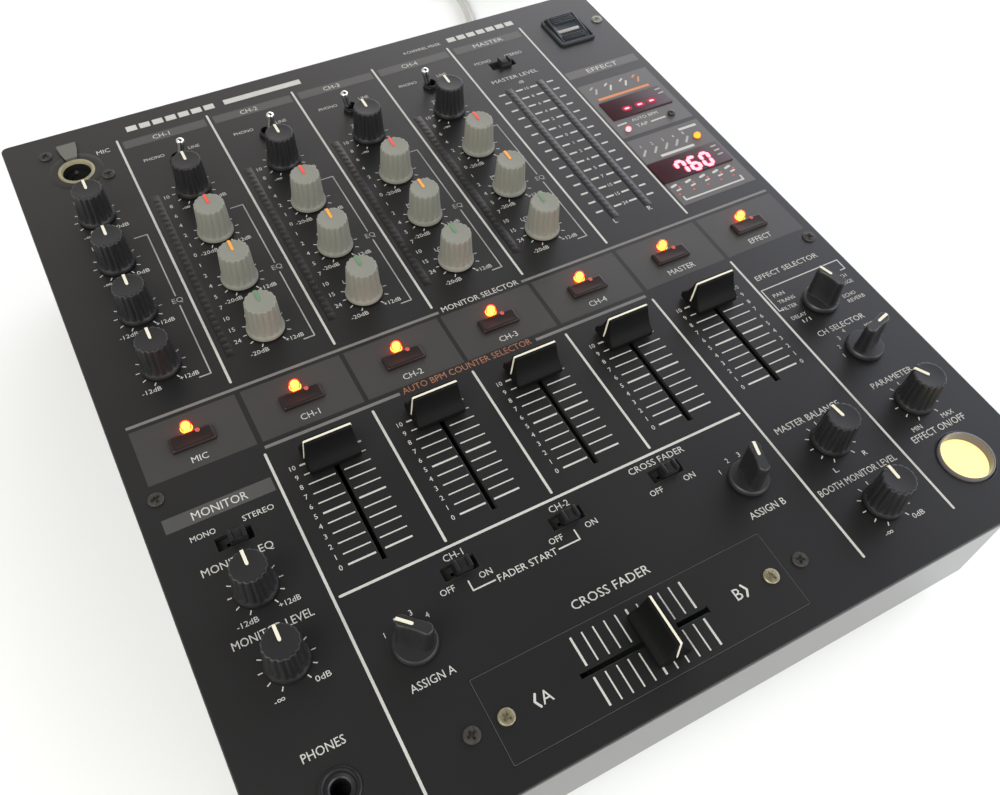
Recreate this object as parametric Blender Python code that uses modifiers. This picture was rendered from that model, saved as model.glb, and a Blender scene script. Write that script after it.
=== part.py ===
"""A four-channel DJ mixer with its mains lead.

World axes: +X to the right of the front panel, +Y to the rear, +Z up. The origin is on the floor, under the
middle of the mixer. The panel is laid out from its front left corner, and on_panel() turns that into world
places. Sizes are in metres, written as millimetres times MM.
"""

import math

import bmesh
import bpy
from mathutils import Vector

MM = 0.001

# Overall sizes
PANEL_WIDTH = 308 * MM
PANEL_DEPTH = 354 * MM
PANEL_THICKNESS = 2 * MM
PANEL_TOP = 90 * MM
PANEL_CORNER = 3 * MM
PANEL_EDGE = 0.5 * MM
BODY_DEPTH = 360.5 * MM
GAP = 0.3 * MM

# Chassis
FRONT_OVERHANG = 6.5 * MM
SIDE_OVERHANG = 1.5 * MM
REAR_OVERHANG = 1.5 * MM
SHEET = 1.5 * MM
CHASSIS_CORNER = 2 * MM
FOOT_HEIGHT = 8 * MM
FOOT_RADIUS = 11 * MM
FOOT_INSET_X = 28 * MM
FOOT_INSET_Y = 32 * MM
FOOT_SIDES = 16

# Control grid
COLUMN_FIRST = 27.4 * MM
COLUMN_PITCH = 42.4 * MM
ROW_TOP = 292 * MM
ROW_PITCH = 30 * MM
ROWS = ("trim", "hi", "mid", "low")
MIC_ROWS = ("level_1", "level_2", "hi", "low")
CHANNELS = (1, 2, 3, 4)
MASTER_COLUMN = 5
EFFECT_COLUMN = 6

# Control board
BOARD_TOP = 75.6 * MM
BOARD_THICKNESS = 1.6 * MM
BOARD_MARGIN = 8 * MM
POT_TOP = 81.7 * MM
POT_SIDE = 11 * MM
SINK = 0.4 * MM

# Rotary knobs
KNOB_STEPS = 14
KNOB_CLEARANCE = 0.6 * MM
KNOB_HEIGHT = 16.3 * MM
SKIRT_RADIUS = 7.7 * MM
SKIRT_HEIGHT = 1.6 * MM
BARREL_RADIUS = 7.1 * MM
KNOB_TOP_RADIUS = 6.4 * MM
SHAFT_RADIUS = 3 * MM
SHAFT_HOLE_RADIUS = 3.5 * MM
SELECTOR_GRIP = (5.4 * MM, 13 * MM)

# Faders
FADER_FRONT_Y = 92 * MM
FADER_TRAVEL = 44 * MM
CAP_BASE = (20 * MM, 12.8 * MM)
CAP_RIDGE = (18 * MM, 2.6 * MM)
CAP_SHOULDER = (19.2 * MM, 7 * MM)
CAP_CLEARANCE = 1 * MM
CAP_SKIRT_Z = 3.2 * MM
CAP_SHOULDER_Z = 7.4 * MM
CAP_HEIGHT = 13.4 * MM
STEM = (1.4 * MM, 5 * MM)
STEM_BOTTOM = 79.6 * MM
SLOT_WIDTH = 2.6 * MM
SLOT_END = 1.2 * MM
FADER_BODY_WIDTH = 9 * MM
FADER_BODY_END = 6 * MM
FADER_TRACK_WIDTH = 2.2 * MM
FADER_TRACK_BOTTOM = 78.6 * MM
CROSS_CENTRE = (132.9 * MM, 22.3 * MM)
CROSS_REST = 4.6 * MM
CROSS_TRAVEL = 43 * MM
PLATE_SIZE = (114.4 * MM, 29.6 * MM)
PLATE_CENTRE = (132.9 * MM, 22.7 * MM)
PLATE_THICKNESS = 1.6 * MM

# Push buttons
CUE_SIZE = (16.4 * MM, 6.8 * MM)
CUE_Y = 163.8 * MM
CUE_RAISED = 1.6 * MM
BUTTON_GAP = 0.4 * MM
PLUNGER = (4 * MM, 4 * MM)
PLUNGER_BOTTOM = 83.4 * MM
CAP_DEPTH = 3.2 * MM
POWER_PLACE = (283.8 * MM, 325.2 * MM)
POWER_SIZE = (17 * MM, 20 * MM)
POWER_RAISED = 3.4 * MM
POWER_PLUNGER_BOTTOM = 85.2 * MM
EFFECT_BUTTON_PLACE = (281.2 * MM, 27.2 * MM)
EFFECT_BUTTON_RADIUS = 10.8 * MM
EFFECT_BUTTON_RAISED = 1.2 * MM
EFFECT_PLUNGER_RADIUS = 3 * MM
EFFECT_PLUNGER_BOTTOM = 84.4 * MM
EFFECT_BUTTON_SIDES = 24

# Toggle levers
TOGGLE_Y = 313 * MM
TOGGLE_PIVOT = 86.5 * MM
TOGGLE_LENGTH = 15 * MM
TOGGLE_BELOW = 3 * MM
TOGGLE_TIP_RADIUS = 1.7 * MM
TOGGLE_ROOT_RADIUS = 1.15 * MM
TOGGLE_LEAN = math.radians(12)
TOGGLE_LEANS = {1: 1, 2: 1, 3: -1, 4: -1}
TOGGLE_HOLE_RADIUS = 2.7 * MM

# Slide switches, by the middle of their openings
SLIDE_SWITCHES = {
    "monitor_mode_switch": (27.4 * MM, 118.8 * MM),
    "fader_start_1_switch": (90.7 * MM, 73.8 * MM),
    "fader_start_2_switch": (133.1 * MM, 73.8 * MM),
    "cross_fader_switch": (175.6 * MM, 73.8 * MM),
    "master_mode_switch": (238.2 * MM, 314 * MM),
}
SLIDE_OPENING = (13.2 * MM, 5.6 * MM)
SLIDE_CAP = (6.2 * MM, 4.8 * MM)
SLIDE_REST = 1.2 * MM
SLIDE_RAISED = 3 * MM
SLIDE_BOTTOM = 82.4 * MM

# Sockets
MIC_PLACE = (27.0 * MM, 325 * MM)
MIC_OUTER_RADIUS = 11.6 * MM
MIC_HOLE_RADIUS = 6.2 * MM
PHONES_PLACE = (27.0 * MM, 26.4 * MM)
PHONES_OUTER_RADIUS = 5.4 * MM
PHONES_HOLE_RADIUS = 3.3 * MM
SOCKET_SUNK = 1 * MM
SOCKET_SIDES = 20
PHONO_RADIUS = 4.1 * MM
PHONO_LENGTH = 8 * MM
PHONO_SIDES = 10
PHONO_ROWS = (34 * MM, 54 * MM)
PHONO_FIRST = 34 * MM
PHONO_PITCH = 13.5 * MM
PHONO_COLUMNS = 11
OUTPUT_PLACES = (208 * MM, 238 * MM)
OUTPUT_Z = 46 * MM
OUTPUT_HOLE_RADIUS = 10 * MM

# Mains lead: its gland, its route from the gland to the coil, the coil, and the plug lying on the coil
CORD_DIAMETER = 6 * MM
CORD_LIFT = 0.2 * MM
GLAND_PLACE = (272 * MM, 42 * MM)
GLAND_RADIUS = 6.5 * MM
GLAND_LENGTH = 6.3 * MM
CORD_STEP = 2.5 * CORD_DIAMETER
CORD_ROUTE = (
    (272.0, 359.1, 42.0),
    (272.1, 372.0, 41.8),
    (273.5, 388.0, 39.8),
    (277.5, 404.0, 33.8),
    (282.5, 419.0, 25.0),
    (288.5, 434.0, 15.4),
    (295.0, 449.0, 7.6),
    (301.0, 463.0, 4.0),
    (306.0, 478.0, 3.2),
    (309.3, 494.0, 3.2),
    (310.8, 508.0, 3.2),
    (311.0, 516.4, 3.2),
)
COIL_CENTRE = (351 * MM, 540 * MM)
COIL_MEAN_RADIUS = 34 * MM
COIL_HALF_WIDTH = 9.3 * MM
COIL_HEIGHT = 18.5 * MM
COIL_STEPS = 32
PLUG_SIZE = (26 * MM, 34 * MM, 15 * MM)
PLUG_NECK = (9 * MM, 9 * MM)
PLUG_NECK_LENGTH = 9 * MM
BLADE_SIZE = (1.5 * MM, 16 * MM, 6.3 * MM)
BLADE_PITCH = 12.7 * MM


def on_panel(x, y, z=PANEL_TOP):
    """The world place of a point laid out from the panel's front left corner."""
    return Vector((x - PANEL_WIDTH / 2, y - BODY_DEPTH / 2, z))


def column_x(column):
    return COLUMN_FIRST + COLUMN_PITCH * column


def new_collection(name):
    made = bpy.data.collections.new(name)
    bpy.context.scene.collection.children.link(made)
    return made


def new_object(name, mesh, collection, at=(0, 0, 0)):
    made = bpy.data.objects.new(name, mesh)
    made.location = at
    collection.objects.link(made)
    return made


def paint(part, colour, roughness, metallic=0.0):
    """Gives the object a material of its own."""
    material = bpy.data.materials.new(part.name + "_finish")
    material.use_nodes = True
    shader = material.node_tree.nodes["Principled BSDF"]
    shader.inputs["Base Color"].default_value = (*colour, 1)
    shader.inputs["Roughness"].default_value = roughness
    shader.inputs["Metallic"].default_value = metallic
    if not part.data.materials:
        part.data.materials.append(None)
    part.material_slots[0].link = "OBJECT"
    part.material_slots[0].material = material
    return part


def add_box(bm, low, high):
    """Adds a box between two corners, and returns its vertices."""
    low, high = Vector(low), Vector(high)
    verts = bmesh.ops.create_cube(bm, size=1)["verts"]
    bmesh.ops.scale(bm, vec=high - low, verts=verts)
    bmesh.ops.translate(bm, vec=(low + high) / 2, verts=verts)
    return verts


def add_block(bm, centre, size, bottom, top):
    """Adds an upright box round a point of the plan."""
    half_x, half_y = size[0] / 2, size[1] / 2
    low = (centre[0] - half_x, centre[1] - half_y, bottom)
    return add_box(bm, low, (centre[0] + half_x, centre[1] + half_y, top))


def add_cylinder(bm, centre, radius, bottom, top, sides):
    """Adds an upright cylinder round a point of the plan."""
    verts = bmesh.ops.create_cone(
        bm,
        cap_ends=True,
        segments=sides,
        radius1=radius,
        radius2=radius,
        depth=top - bottom,
    )["verts"]
    bmesh.ops.translate(bm, vec=(centre[0], centre[1], (top + bottom) / 2), verts=verts)
    return verts


def add_rod(bm, x, z, radius, start, end, sides):
    """Adds a cylinder along Y."""
    verts = add_cylinder(bm, (0, 0), radius, start, end, sides)
    for vert in verts:
        vert.co = Vector((vert.co.x + x, vert.co.z, vert.co.y + z))
    faces = {face for vert in verts for face in vert.link_faces}
    bmesh.ops.reverse_faces(bm, faces=list(faces))
    return verts


def round_edges(bm, edges, radius, steps):
    bmesh.ops.bevel(bm, geom=edges, offset=radius, segments=steps, profile=0.5, affect="EDGES")


def mesh_from(bm, name):
    mesh = bpy.data.meshes.new(name)
    bm.to_mesh(mesh)
    bm.free()
    return mesh


def lofted(name, sections):
    """A closed mesh through rectangles of (width, depth, height), from the bottom up."""
    bm = bmesh.new()
    rings = []
    for width, depth, z in sections:
        corners = ((-1, -1), (1, -1), (1, 1), (-1, 1))
        rings.append([bm.verts.new((i * width / 2, j * depth / 2, z)) for i, j in corners])
    bm.faces.new(reversed(rings[0]))
    bm.faces.new(rings[-1])
    for lower, upper in zip(rings, rings[1:]):
        for i in range(4):
            j = (i + 1) % 4
            bm.faces.new((lower[i], lower[j], upper[j], upper[i]))
    return mesh_from(bm, name)


def profile_mesh(name, points, closed=False):
    """A chain of edges in the XZ plane for a Screw modifier."""
    mesh = bpy.data.meshes.new(name)
    edges = [(i, i + 1) for i in range(len(points) - 1)]
    if closed:
        edges.append((len(points) - 1, 0))
    mesh.from_pydata([(r, 0, z) for r, z in points], edges, [])
    return mesh


def turn(part, steps):
    screw = part.modifiers.new("Turned", "SCREW")
    screw.steps = steps
    screw.render_steps = steps
    screw.use_merge_vertices = True
    screw.merge_threshold = 0.00005
    return part


def boolean(part, other, operation):
    modifier = part.modifiers.new(operation.title(), "BOOLEAN")
    modifier.operation = operation
    modifier.solver = "EXACT"
    modifier.object = other


def helper(name, mesh, cutters):
    """A mesh that only cuts or joins, so it is never rendered."""
    made = new_object(name, mesh, cutters)
    made.hide_render = True
    made.display_type = "WIRE"
    return made


def knob_places():
    """Every rotary knob: its name, its place on the panel, and whether it is a selector."""
    places = {}
    for row, word in enumerate(MIC_ROWS):
        places[f"mic_{word}_knob"] = (column_x(0), ROW_TOP - ROW_PITCH * row)
    for channel in CHANNELS:
        for row, word in enumerate(ROWS):
            places[f"ch_{channel}_{word}_knob"] = (column_x(channel), ROW_TOP - ROW_PITCH * row)
    places["monitor_eq_knob"] = (column_x(0), 98.3 * MM)
    places["monitor_level_knob"] = (column_x(0), 69.8 * MM)
    places["master_balance_knob"] = (column_x(MASTER_COLUMN), 56.5 * MM)
    places["booth_level_knob"] = (column_x(MASTER_COLUMN), 26.7 * MM)
    places["effect_amount_knob"] = (column_x(EFFECT_COLUMN), 56.5 * MM)
    return places


def selector_places():
    """The rotary switches, with the clockwise angle in degrees at which each rests."""
    return {
        "assign_a_selector": (65.8 * MM, 56.3 * MM, -45),
        "assign_b_selector": (200.9 * MM, 57 * MM, 15),
        "effect_selector": (column_x(EFFECT_COLUMN), 114 * MM, -17),
        "effect_channel_selector": (column_x(EFFECT_COLUMN), 86 * MM, 75),
    }


def fader_places():
    """The upright faders: the name and the panel place of each cap at rest."""
    rest_y = FADER_FRONT_Y + FADER_TRAVEL
    places = {f"ch_{n}_fader_cap": (column_x(n), rest_y) for n in CHANNELS}
    places["master_fader_cap"] = (column_x(MASTER_COLUMN), rest_y)
    return places


def cue_places():
    names = ["mic", "ch_1", "ch_2", "ch_3", "ch_4", "master", "effect"]
    return {f"{name}_cue_button": (column_x(i), CUE_Y) for i, name in enumerate(names)}


def toggle_places():
    return {f"ch_{n}_input_toggle": (column_x(n), TOGGLE_Y) for n in CHANNELS}


def plan(place):
    """The world X and Y of a place on the panel."""
    return on_panel(*place[:2]).xy


def fader_slots():
    """The plan rectangle (centre, size) that each upright fader's stem runs in."""
    length = FADER_TRAVEL + STEM[1] + 2 * SLOT_END
    middle_y = FADER_FRONT_Y + FADER_TRAVEL / 2
    return [(plan((x, middle_y)), (SLOT_WIDTH, length)) for x, _ in fader_places().values()]


def cross_slot():
    length = CROSS_TRAVEL + STEM[1] + 2 * SLOT_END
    return plan(CROSS_CENTRE), (length, SLOT_WIDTH)


def panel_openings():
    """Everything that is cut through the top panel, as one mesh of separate prisms."""
    bm = bmesh.new()
    bottom, top = PANEL_TOP - 2 * PANEL_THICKNESS, PANEL_TOP + PANEL_THICKNESS
    for place in list(knob_places().values()) + list(selector_places().values()):
        add_cylinder(bm, plan(place), SHAFT_HOLE_RADIUS, bottom, top, 12)
    for place in toggle_places().values():
        add_cylinder(bm, plan(place), TOGGLE_HOLE_RADIUS, bottom, top, 12)
    for centre, size in fader_slots():
        add_block(bm, centre, size, bottom, top)
    for place in cue_places().values():
        size = [side + 2 * BUTTON_GAP for side in CUE_SIZE]
        add_block(bm, plan(place), size, bottom, top)
    for place in SLIDE_SWITCHES.values():
        add_block(bm, plan(place), SLIDE_OPENING, bottom, top)
    power_opening = [side + 2 * BUTTON_GAP for side in POWER_SIZE]
    add_block(bm, plan(POWER_PLACE), power_opening, bottom, top)
    plate_opening = [side + 2 * GAP for side in PLATE_SIZE]
    add_block(bm, plan(PLATE_CENTRE), plate_opening, bottom, top)
    rounds = (
        (EFFECT_BUTTON_PLACE, EFFECT_BUTTON_RADIUS + BUTTON_GAP, EFFECT_BUTTON_SIDES),
        (MIC_PLACE, MIC_OUTER_RADIUS + GAP, SOCKET_SIDES),
        (PHONES_PLACE, PHONES_OUTER_RADIUS + GAP, SOCKET_SIDES),
    )
    for place, radius, sides in rounds:
        add_cylinder(bm, plan(place), radius, bottom, top, sides)
    return mesh_from(bm, "panel_openings")


def make_top_panel(parts, cutters):
    bm = bmesh.new()
    low = on_panel(0, 0, PANEL_TOP - PANEL_THICKNESS)
    add_box(bm, low, on_panel(PANEL_WIDTH, PANEL_DEPTH))
    upright = [e for e in bm.edges if abs(e.verts[0].co.z - e.verts[1].co.z) > MM]
    round_edges(bm, upright, PANEL_CORNER, 4)
    rim = [e for e in bm.edges if min(v.co.z for v in e.verts) > PANEL_TOP - GAP]
    round_edges(bm, rim, PANEL_EDGE, 2)
    panel = new_object("top_panel", mesh_from(bm, "top_panel"), parts)
    boolean(panel, helper("panel_openings", panel_openings(), cutters), "DIFFERENCE")
    paint(panel, (0.035, 0.035, 0.036), 0.42)


def chassis_fittings():
    """Feet, rear jack barrels and the cord gland, as separate solids that sink into the tub."""
    bm = bmesh.new()
    bottom = FOOT_HEIGHT + SINK
    for x in (FOOT_INSET_X, PANEL_WIDTH - FOOT_INSET_X):
        for y in (FOOT_INSET_Y, PANEL_DEPTH - FOOT_INSET_Y):
            add_cylinder(bm, plan((x, y)), FOOT_RADIUS, 0, bottom, FOOT_SIDES)
    rear = on_panel(0, PANEL_DEPTH - REAR_OVERHANG).y
    for column in range(PHONO_COLUMNS):
        x = on_panel(PHONO_FIRST + PHONO_PITCH * column, 0).x
        for z in PHONO_ROWS:
            add_rod(bm, x, z, PHONO_RADIUS, rear - SINK, rear + PHONO_LENGTH, PHONO_SIDES)
    x = on_panel(GLAND_PLACE[0], 0).x
    add_rod(bm, x, GLAND_PLACE[1], GLAND_RADIUS, rear - SINK, rear + GLAND_LENGTH, SOCKET_SIDES)
    return mesh_from(bm, "chassis_fittings")


def chassis_openings():
    """The tub's hollow, and the holes of the balanced outputs in its rear wall."""
    bm = bmesh.new()
    low = on_panel(SIDE_OVERHANG + SHEET, FRONT_OVERHANG + SHEET, FOOT_HEIGHT + SHEET)
    high = on_panel(PANEL_WIDTH - SIDE_OVERHANG - SHEET, PANEL_DEPTH - REAR_OVERHANG - SHEET)
    add_box(bm, low, high)
    return mesh_from(bm, "chassis_hollow")


def output_holes():
    bm = bmesh.new()
    rear = on_panel(0, PANEL_DEPTH - REAR_OVERHANG).y
    for place in OUTPUT_PLACES:
        x = on_panel(place, 0).x
        radius = OUTPUT_HOLE_RADIUS
        add_rod(bm, x, OUTPUT_Z, radius, rear - 2 * SHEET, rear + SHEET, SOCKET_SIDES)
    return mesh_from(bm, "output_holes")


def make_chassis(parts, cutters):
    bm = bmesh.new()
    low = on_panel(SIDE_OVERHANG, FRONT_OVERHANG, FOOT_HEIGHT)
    top = PANEL_TOP - PANEL_THICKNESS - GAP
    add_box(bm, low, on_panel(PANEL_WIDTH - SIDE_OVERHANG, PANEL_DEPTH - REAR_OVERHANG, top))
    outer_edges = [e for e in bm.edges if min(v.co.z for v in e.verts) < top - GAP]
    round_edges(bm, outer_edges, CHASSIS_CORNER, 3)
    chassis = new_object("chassis", mesh_from(bm, "chassis"), parts)
    boolean(chassis, helper("chassis_hollow", chassis_openings(), cutters), "DIFFERENCE")
    boolean(chassis, helper("chassis_fittings", chassis_fittings(), cutters), "UNION")
    boolean(chassis, helper("output_holes", output_holes(), cutters), "DIFFERENCE")
    paint(chassis, (0.03, 0.03, 0.031), 0.45, 0.1)


def make_cross_fader_plate(parts, cutters):
    bm = bmesh.new()
    add_block(bm, plan(PLATE_CENTRE), PLATE_SIZE, PANEL_TOP - PLATE_THICKNESS, PANEL_TOP)
    plate = new_object("cross_fader_plate", mesh_from(bm, "cross_fader_plate"), parts)
    slot = bmesh.new()
    centre, size = cross_slot()
    add_block(slot, centre, size, PANEL_TOP - 2 * PLATE_THICKNESS, PANEL_TOP + PLATE_THICKNESS)
    boolean(plate, helper("cross_slot", mesh_from(slot, "cross_slot"), cutters), "DIFFERENCE")
    paint(plate, (0.035, 0.035, 0.037), 0.4)


def board_components():
    """Pots, fader bodies, switch bodies and socket bodies that stand on the control board."""
    bm = bmesh.new()
    bottom = BOARD_TOP - SINK
    for place in list(knob_places().values()) + list(selector_places().values()):
        add_block(bm, plan(place), (POT_SIDE, POT_SIDE), bottom, POT_TOP)
    for centre, size in fader_slots():
        body = (FADER_BODY_WIDTH, size[1] + 2 * FADER_BODY_END)
        add_block(bm, centre, body, bottom, POT_TOP)
    centre, size = cross_slot()
    body = (size[0] + 2 * FADER_BODY_END, FADER_BODY_WIDTH)
    add_block(bm, centre, body, bottom, POT_TOP)
    for place in list(cue_places().values()) + [POWER_PLACE, EFFECT_BUTTON_PLACE]:
        add_block(bm, plan(place), (8 * MM, 8 * MM), bottom, POT_TOP)
    for place in list(toggle_places().values()) + list(SLIDE_SWITCHES.values()):
        add_block(bm, plan(place), (10 * MM, 7 * MM), bottom, POT_TOP)
    top = PANEL_TOP - SOCKET_SUNK
    add_cylinder(bm, plan(MIC_PLACE), MIC_OUTER_RADIUS, bottom, top, SOCKET_SIDES)
    add_cylinder(bm, plan(PHONES_PLACE), PHONES_OUTER_RADIUS, bottom, top, SOCKET_SIDES)
    return mesh_from(bm, "board_components")


def board_openings():
    """The tracks of the faders, and the bores of the two sockets on the panel."""
    bm = bmesh.new()
    top = POT_TOP + SINK
    for centre, size in fader_slots():
        add_block(bm, centre, (FADER_TRACK_WIDTH, size[1]), FADER_TRACK_BOTTOM, top)
    centre, size = cross_slot()
    add_block(bm, centre, (size[0], FADER_TRACK_WIDTH), FADER_TRACK_BOTTOM, top)
    low = BOARD_TOP - 2 * BOARD_THICKNESS
    add_cylinder(bm, plan(MIC_PLACE), MIC_HOLE_RADIUS, low, PANEL_TOP, SOCKET_SIDES)
    add_cylinder(bm, plan(PHONES_PLACE), PHONES_HOLE_RADIUS, low, PANEL_TOP, SOCKET_SIDES)
    return mesh_from(bm, "board_openings")


def make_control_board(parts, cutters):
    bm = bmesh.new()
    low = on_panel(BOARD_MARGIN, FRONT_OVERHANG + BOARD_MARGIN / 2, BOARD_TOP - BOARD_THICKNESS)
    high = on_panel(PANEL_WIDTH - BOARD_MARGIN, PANEL_DEPTH - BOARD_MARGIN, BOARD_TOP)
    add_box(bm, low, high)
    board = new_object("control_board", mesh_from(bm, "control_board"), parts)
    boolean(board, helper("board_components", board_components(), cutters), "UNION")
    boolean(board, helper("board_openings", board_openings(), cutters), "DIFFERENCE")
    paint(board, (0.05, 0.16, 0.07), 0.5)


def make_knobs(parts):
    """Tapered knobs, each in one piece with the shaft that turns in its pot."""
    shaft_bottom = POT_TOP + GAP - PANEL_TOP
    profile = (
        (0, KNOB_HEIGHT),
        (KNOB_TOP_RADIUS, KNOB_HEIGHT),
        (BARREL_RADIUS, SKIRT_HEIGHT + KNOB_CLEARANCE),
        (SKIRT_RADIUS, KNOB_CLEARANCE),
        (SHAFT_RADIUS, KNOB_CLEARANCE),
        (SHAFT_RADIUS, shaft_bottom),
        (0, shaft_bottom),
    )
    mesh = profile_mesh("knob_profile", profile)
    for name, place in knob_places().items():
        knob = turn(new_object(name, mesh, parts, on_panel(*place)), KNOB_STEPS)
        grey = name.startswith("ch_") and "trim" not in name
        paint(knob, (0.22, 0.22, 0.2) if grey else (0.02, 0.02, 0.02), 0.5)


def make_selectors(parts, cutters):
    """Selector knobs: a low round skirt, a shaft, and an upright grip across the middle."""
    shaft_bottom = POT_TOP + GAP - PANEL_TOP
    skirt_top = KNOB_CLEARANCE + 2.4 * MM
    profile = (
        (0, skirt_top),
        (BARREL_RADIUS, skirt_top),
        (SKIRT_RADIUS, KNOB_CLEARANCE),
        (SHAFT_RADIUS, KNOB_CLEARANCE),
        (SHAFT_RADIUS, shaft_bottom),
        (0, shaft_bottom),
    )
    mesh = profile_mesh("selector_profile", profile)
    width, depth = SELECTOR_GRIP
    sections = (
        (width, depth, skirt_top - SINK),
        (width * 0.8, depth * 0.96, KNOB_HEIGHT),
    )
    for name, (x, y, angle) in selector_places().items():
        at = on_panel(x, y)
        base = turn(new_object(name, mesh, parts, at), KNOB_STEPS)
        grip = helper(name + "_grip", lofted(name + "_grip", sections), cutters)
        grip.location = at
        for piece in (base, grip):
            piece.rotation_euler.z = -math.radians(angle)
        boolean(base, grip, "UNION")
        paint(base, (0.02, 0.02, 0.02), 0.45)


def cap_sections():
    """Fader cap from the stem's foot up to the ridge."""
    return (
        (*STEM, STEM_BOTTOM - PANEL_TOP),
        (*STEM, CAP_CLEARANCE),
        (*CAP_BASE, CAP_CLEARANCE),
        (*CAP_BASE, CAP_SKIRT_Z),
        (*CAP_SHOULDER, CAP_SHOULDER_Z),
        (*CAP_RIDGE, CAP_HEIGHT),
    )


def make_fader_caps(parts):
    mesh = lofted("fader_cap", cap_sections())
    for name, place in fader_places().items():
        cap = new_object(name, mesh, parts, on_panel(*place))
        paint(cap, (0.018, 0.018, 0.018), 0.4)
    x, y = CROSS_CENTRE
    cap = new_object("cross_fader_cap", mesh, parts, on_panel(x + CROSS_REST, y))
    cap.rotation_euler.z = math.pi / 2
    paint(cap, (0.018, 0.018, 0.018), 0.4)


def button_mesh(name, size, raised, plunger_bottom, crown=0.92):
    """A rectangular key cap on a square plunger."""
    sections = (
        (*PLUNGER, plunger_bottom - PANEL_TOP),
        (*PLUNGER, -CAP_DEPTH),
        (*size, -CAP_DEPTH),
        (*size, raised - GAP),
        (size[0] * crown, size[1] * crown, raised),
    )
    return lofted(name, sections)


def make_buttons(parts):
    mesh = button_mesh("cue_button", CUE_SIZE, CUE_RAISED, PLUNGER_BOTTOM)
    for name, place in cue_places().items():
        paint(new_object(name, mesh, parts, on_panel(*place)), (0.02, 0.02, 0.02), 0.4)
    mesh = button_mesh("power_button", POWER_SIZE, POWER_RAISED, POWER_PLUNGER_BOTTOM)
    power = new_object("power_button", mesh, parts, on_panel(*POWER_PLACE))
    paint(power, (0.02, 0.02, 0.021), 0.35)
    profile = (
        (0, EFFECT_BUTTON_RAISED),
        (EFFECT_BUTTON_RADIUS - GAP, EFFECT_BUTTON_RAISED),
        (EFFECT_BUTTON_RADIUS, EFFECT_BUTTON_RAISED - GAP),
        (EFFECT_BUTTON_RADIUS, -CAP_DEPTH),
        (EFFECT_PLUNGER_RADIUS, -CAP_DEPTH),
        (EFFECT_PLUNGER_RADIUS, EFFECT_PLUNGER_BOTTOM - PANEL_TOP),
        (0, EFFECT_PLUNGER_BOTTOM - PANEL_TOP),
    )
    mesh = profile_mesh("effect_button_profile", profile)
    effect = new_object("effect_on_button", mesh, parts, on_panel(*EFFECT_BUTTON_PLACE))
    paint(turn(effect, EFFECT_BUTTON_SIDES), (0.9, 0.85, 0.45), 0.25)


def make_toggles(parts):
    """Bat levers, with their origins on their pivots, at rest against one side."""
    profile = (
        (0, TOGGLE_LENGTH),
        (TOGGLE_TIP_RADIUS * 0.7, TOGGLE_LENGTH - GAP),
        (TOGGLE_TIP_RADIUS, TOGGLE_LENGTH - 1.6 * MM),
        (TOGGLE_ROOT_RADIUS, TOGGLE_LENGTH * 0.35),
        (TOGGLE_ROOT_RADIUS, -TOGGLE_BELOW),
        (0, -TOGGLE_BELOW),
    )
    mesh = profile_mesh("toggle_profile", profile)
    for channel, (name, place) in zip(CHANNELS, toggle_places().items()):
        lever = new_object(name, mesh, parts, on_panel(*place, TOGGLE_PIVOT))
        lever.rotation_euler.y = TOGGLE_LEANS[channel] * TOGGLE_LEAN
        paint(turn(lever, 12), (0.7, 0.7, 0.7), 0.12, 1.0)


def make_slide_switches(parts):
    width, depth = SLIDE_CAP
    sections = (
        (3 * MM, 3 * MM, SLIDE_BOTTOM - PANEL_TOP),
        (3 * MM, 3 * MM, -CAP_DEPTH),
        (width, depth, -CAP_DEPTH),
        (width, depth, SLIDE_RAISED - GAP),
        (width * 0.94, depth * 0.94, SLIDE_RAISED),
    )
    mesh = lofted("slide_switch", sections)
    for name, (x, y) in SLIDE_SWITCHES.items():
        switch = new_object(name, mesh, parts, on_panel(x + SLIDE_REST, y))
        paint(switch, (0.025, 0.025, 0.025), 0.45)


def smooth_points(route, step):
    """Points about a step apart along the Catmull-Rom curve through the route."""
    ends = [route[0] * 2 - route[1], *route, route[-1] * 2 - route[-2]]
    fine = []
    for a, b, c, d in zip(ends, ends[1:], ends[2:], ends[3:]):
        for i in range(12):
            t = i / 12
            fine.append(
                b
                + (c - a) * (t / 2)
                + (a * 2 - b * 5 + c * 4 - d) * (t * t / 2)
                + (b * 3 - a - c * 3 + d) * (t * t * t / 2)
            )
    fine.append(route[-1])
    kept, run = [fine[0]], 0
    for before, after in zip(fine, fine[1:]):
        run += (after - before).length
        if run >= step:
            kept.append(after)
            run = 0
    if run > step / 2:
        kept.append(fine[-1])
    else:
        kept[-1] = fine[-1]
    return kept


def make_mains_lead(parts):
    route = [on_panel(x * MM, y * MM, z * MM) for x, y, z in CORD_ROUTE]
    points = smooth_points(route, CORD_STEP)
    curve = bpy.data.curves.new("mains_lead", "CURVE")
    curve.dimensions = "3D"
    curve.bevel_depth = CORD_DIAMETER / 2
    curve.bevel_resolution = 2
    curve.use_fill_caps = True
    spline = curve.splines.new("POLY")
    spline.points.add(len(points) - 1)
    for point, at in zip(spline.points, points):
        point.co = (*at, 1)
    paint(new_object("mains_lead", curve, parts), (0.12, 0.12, 0.115), 0.45)


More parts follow.
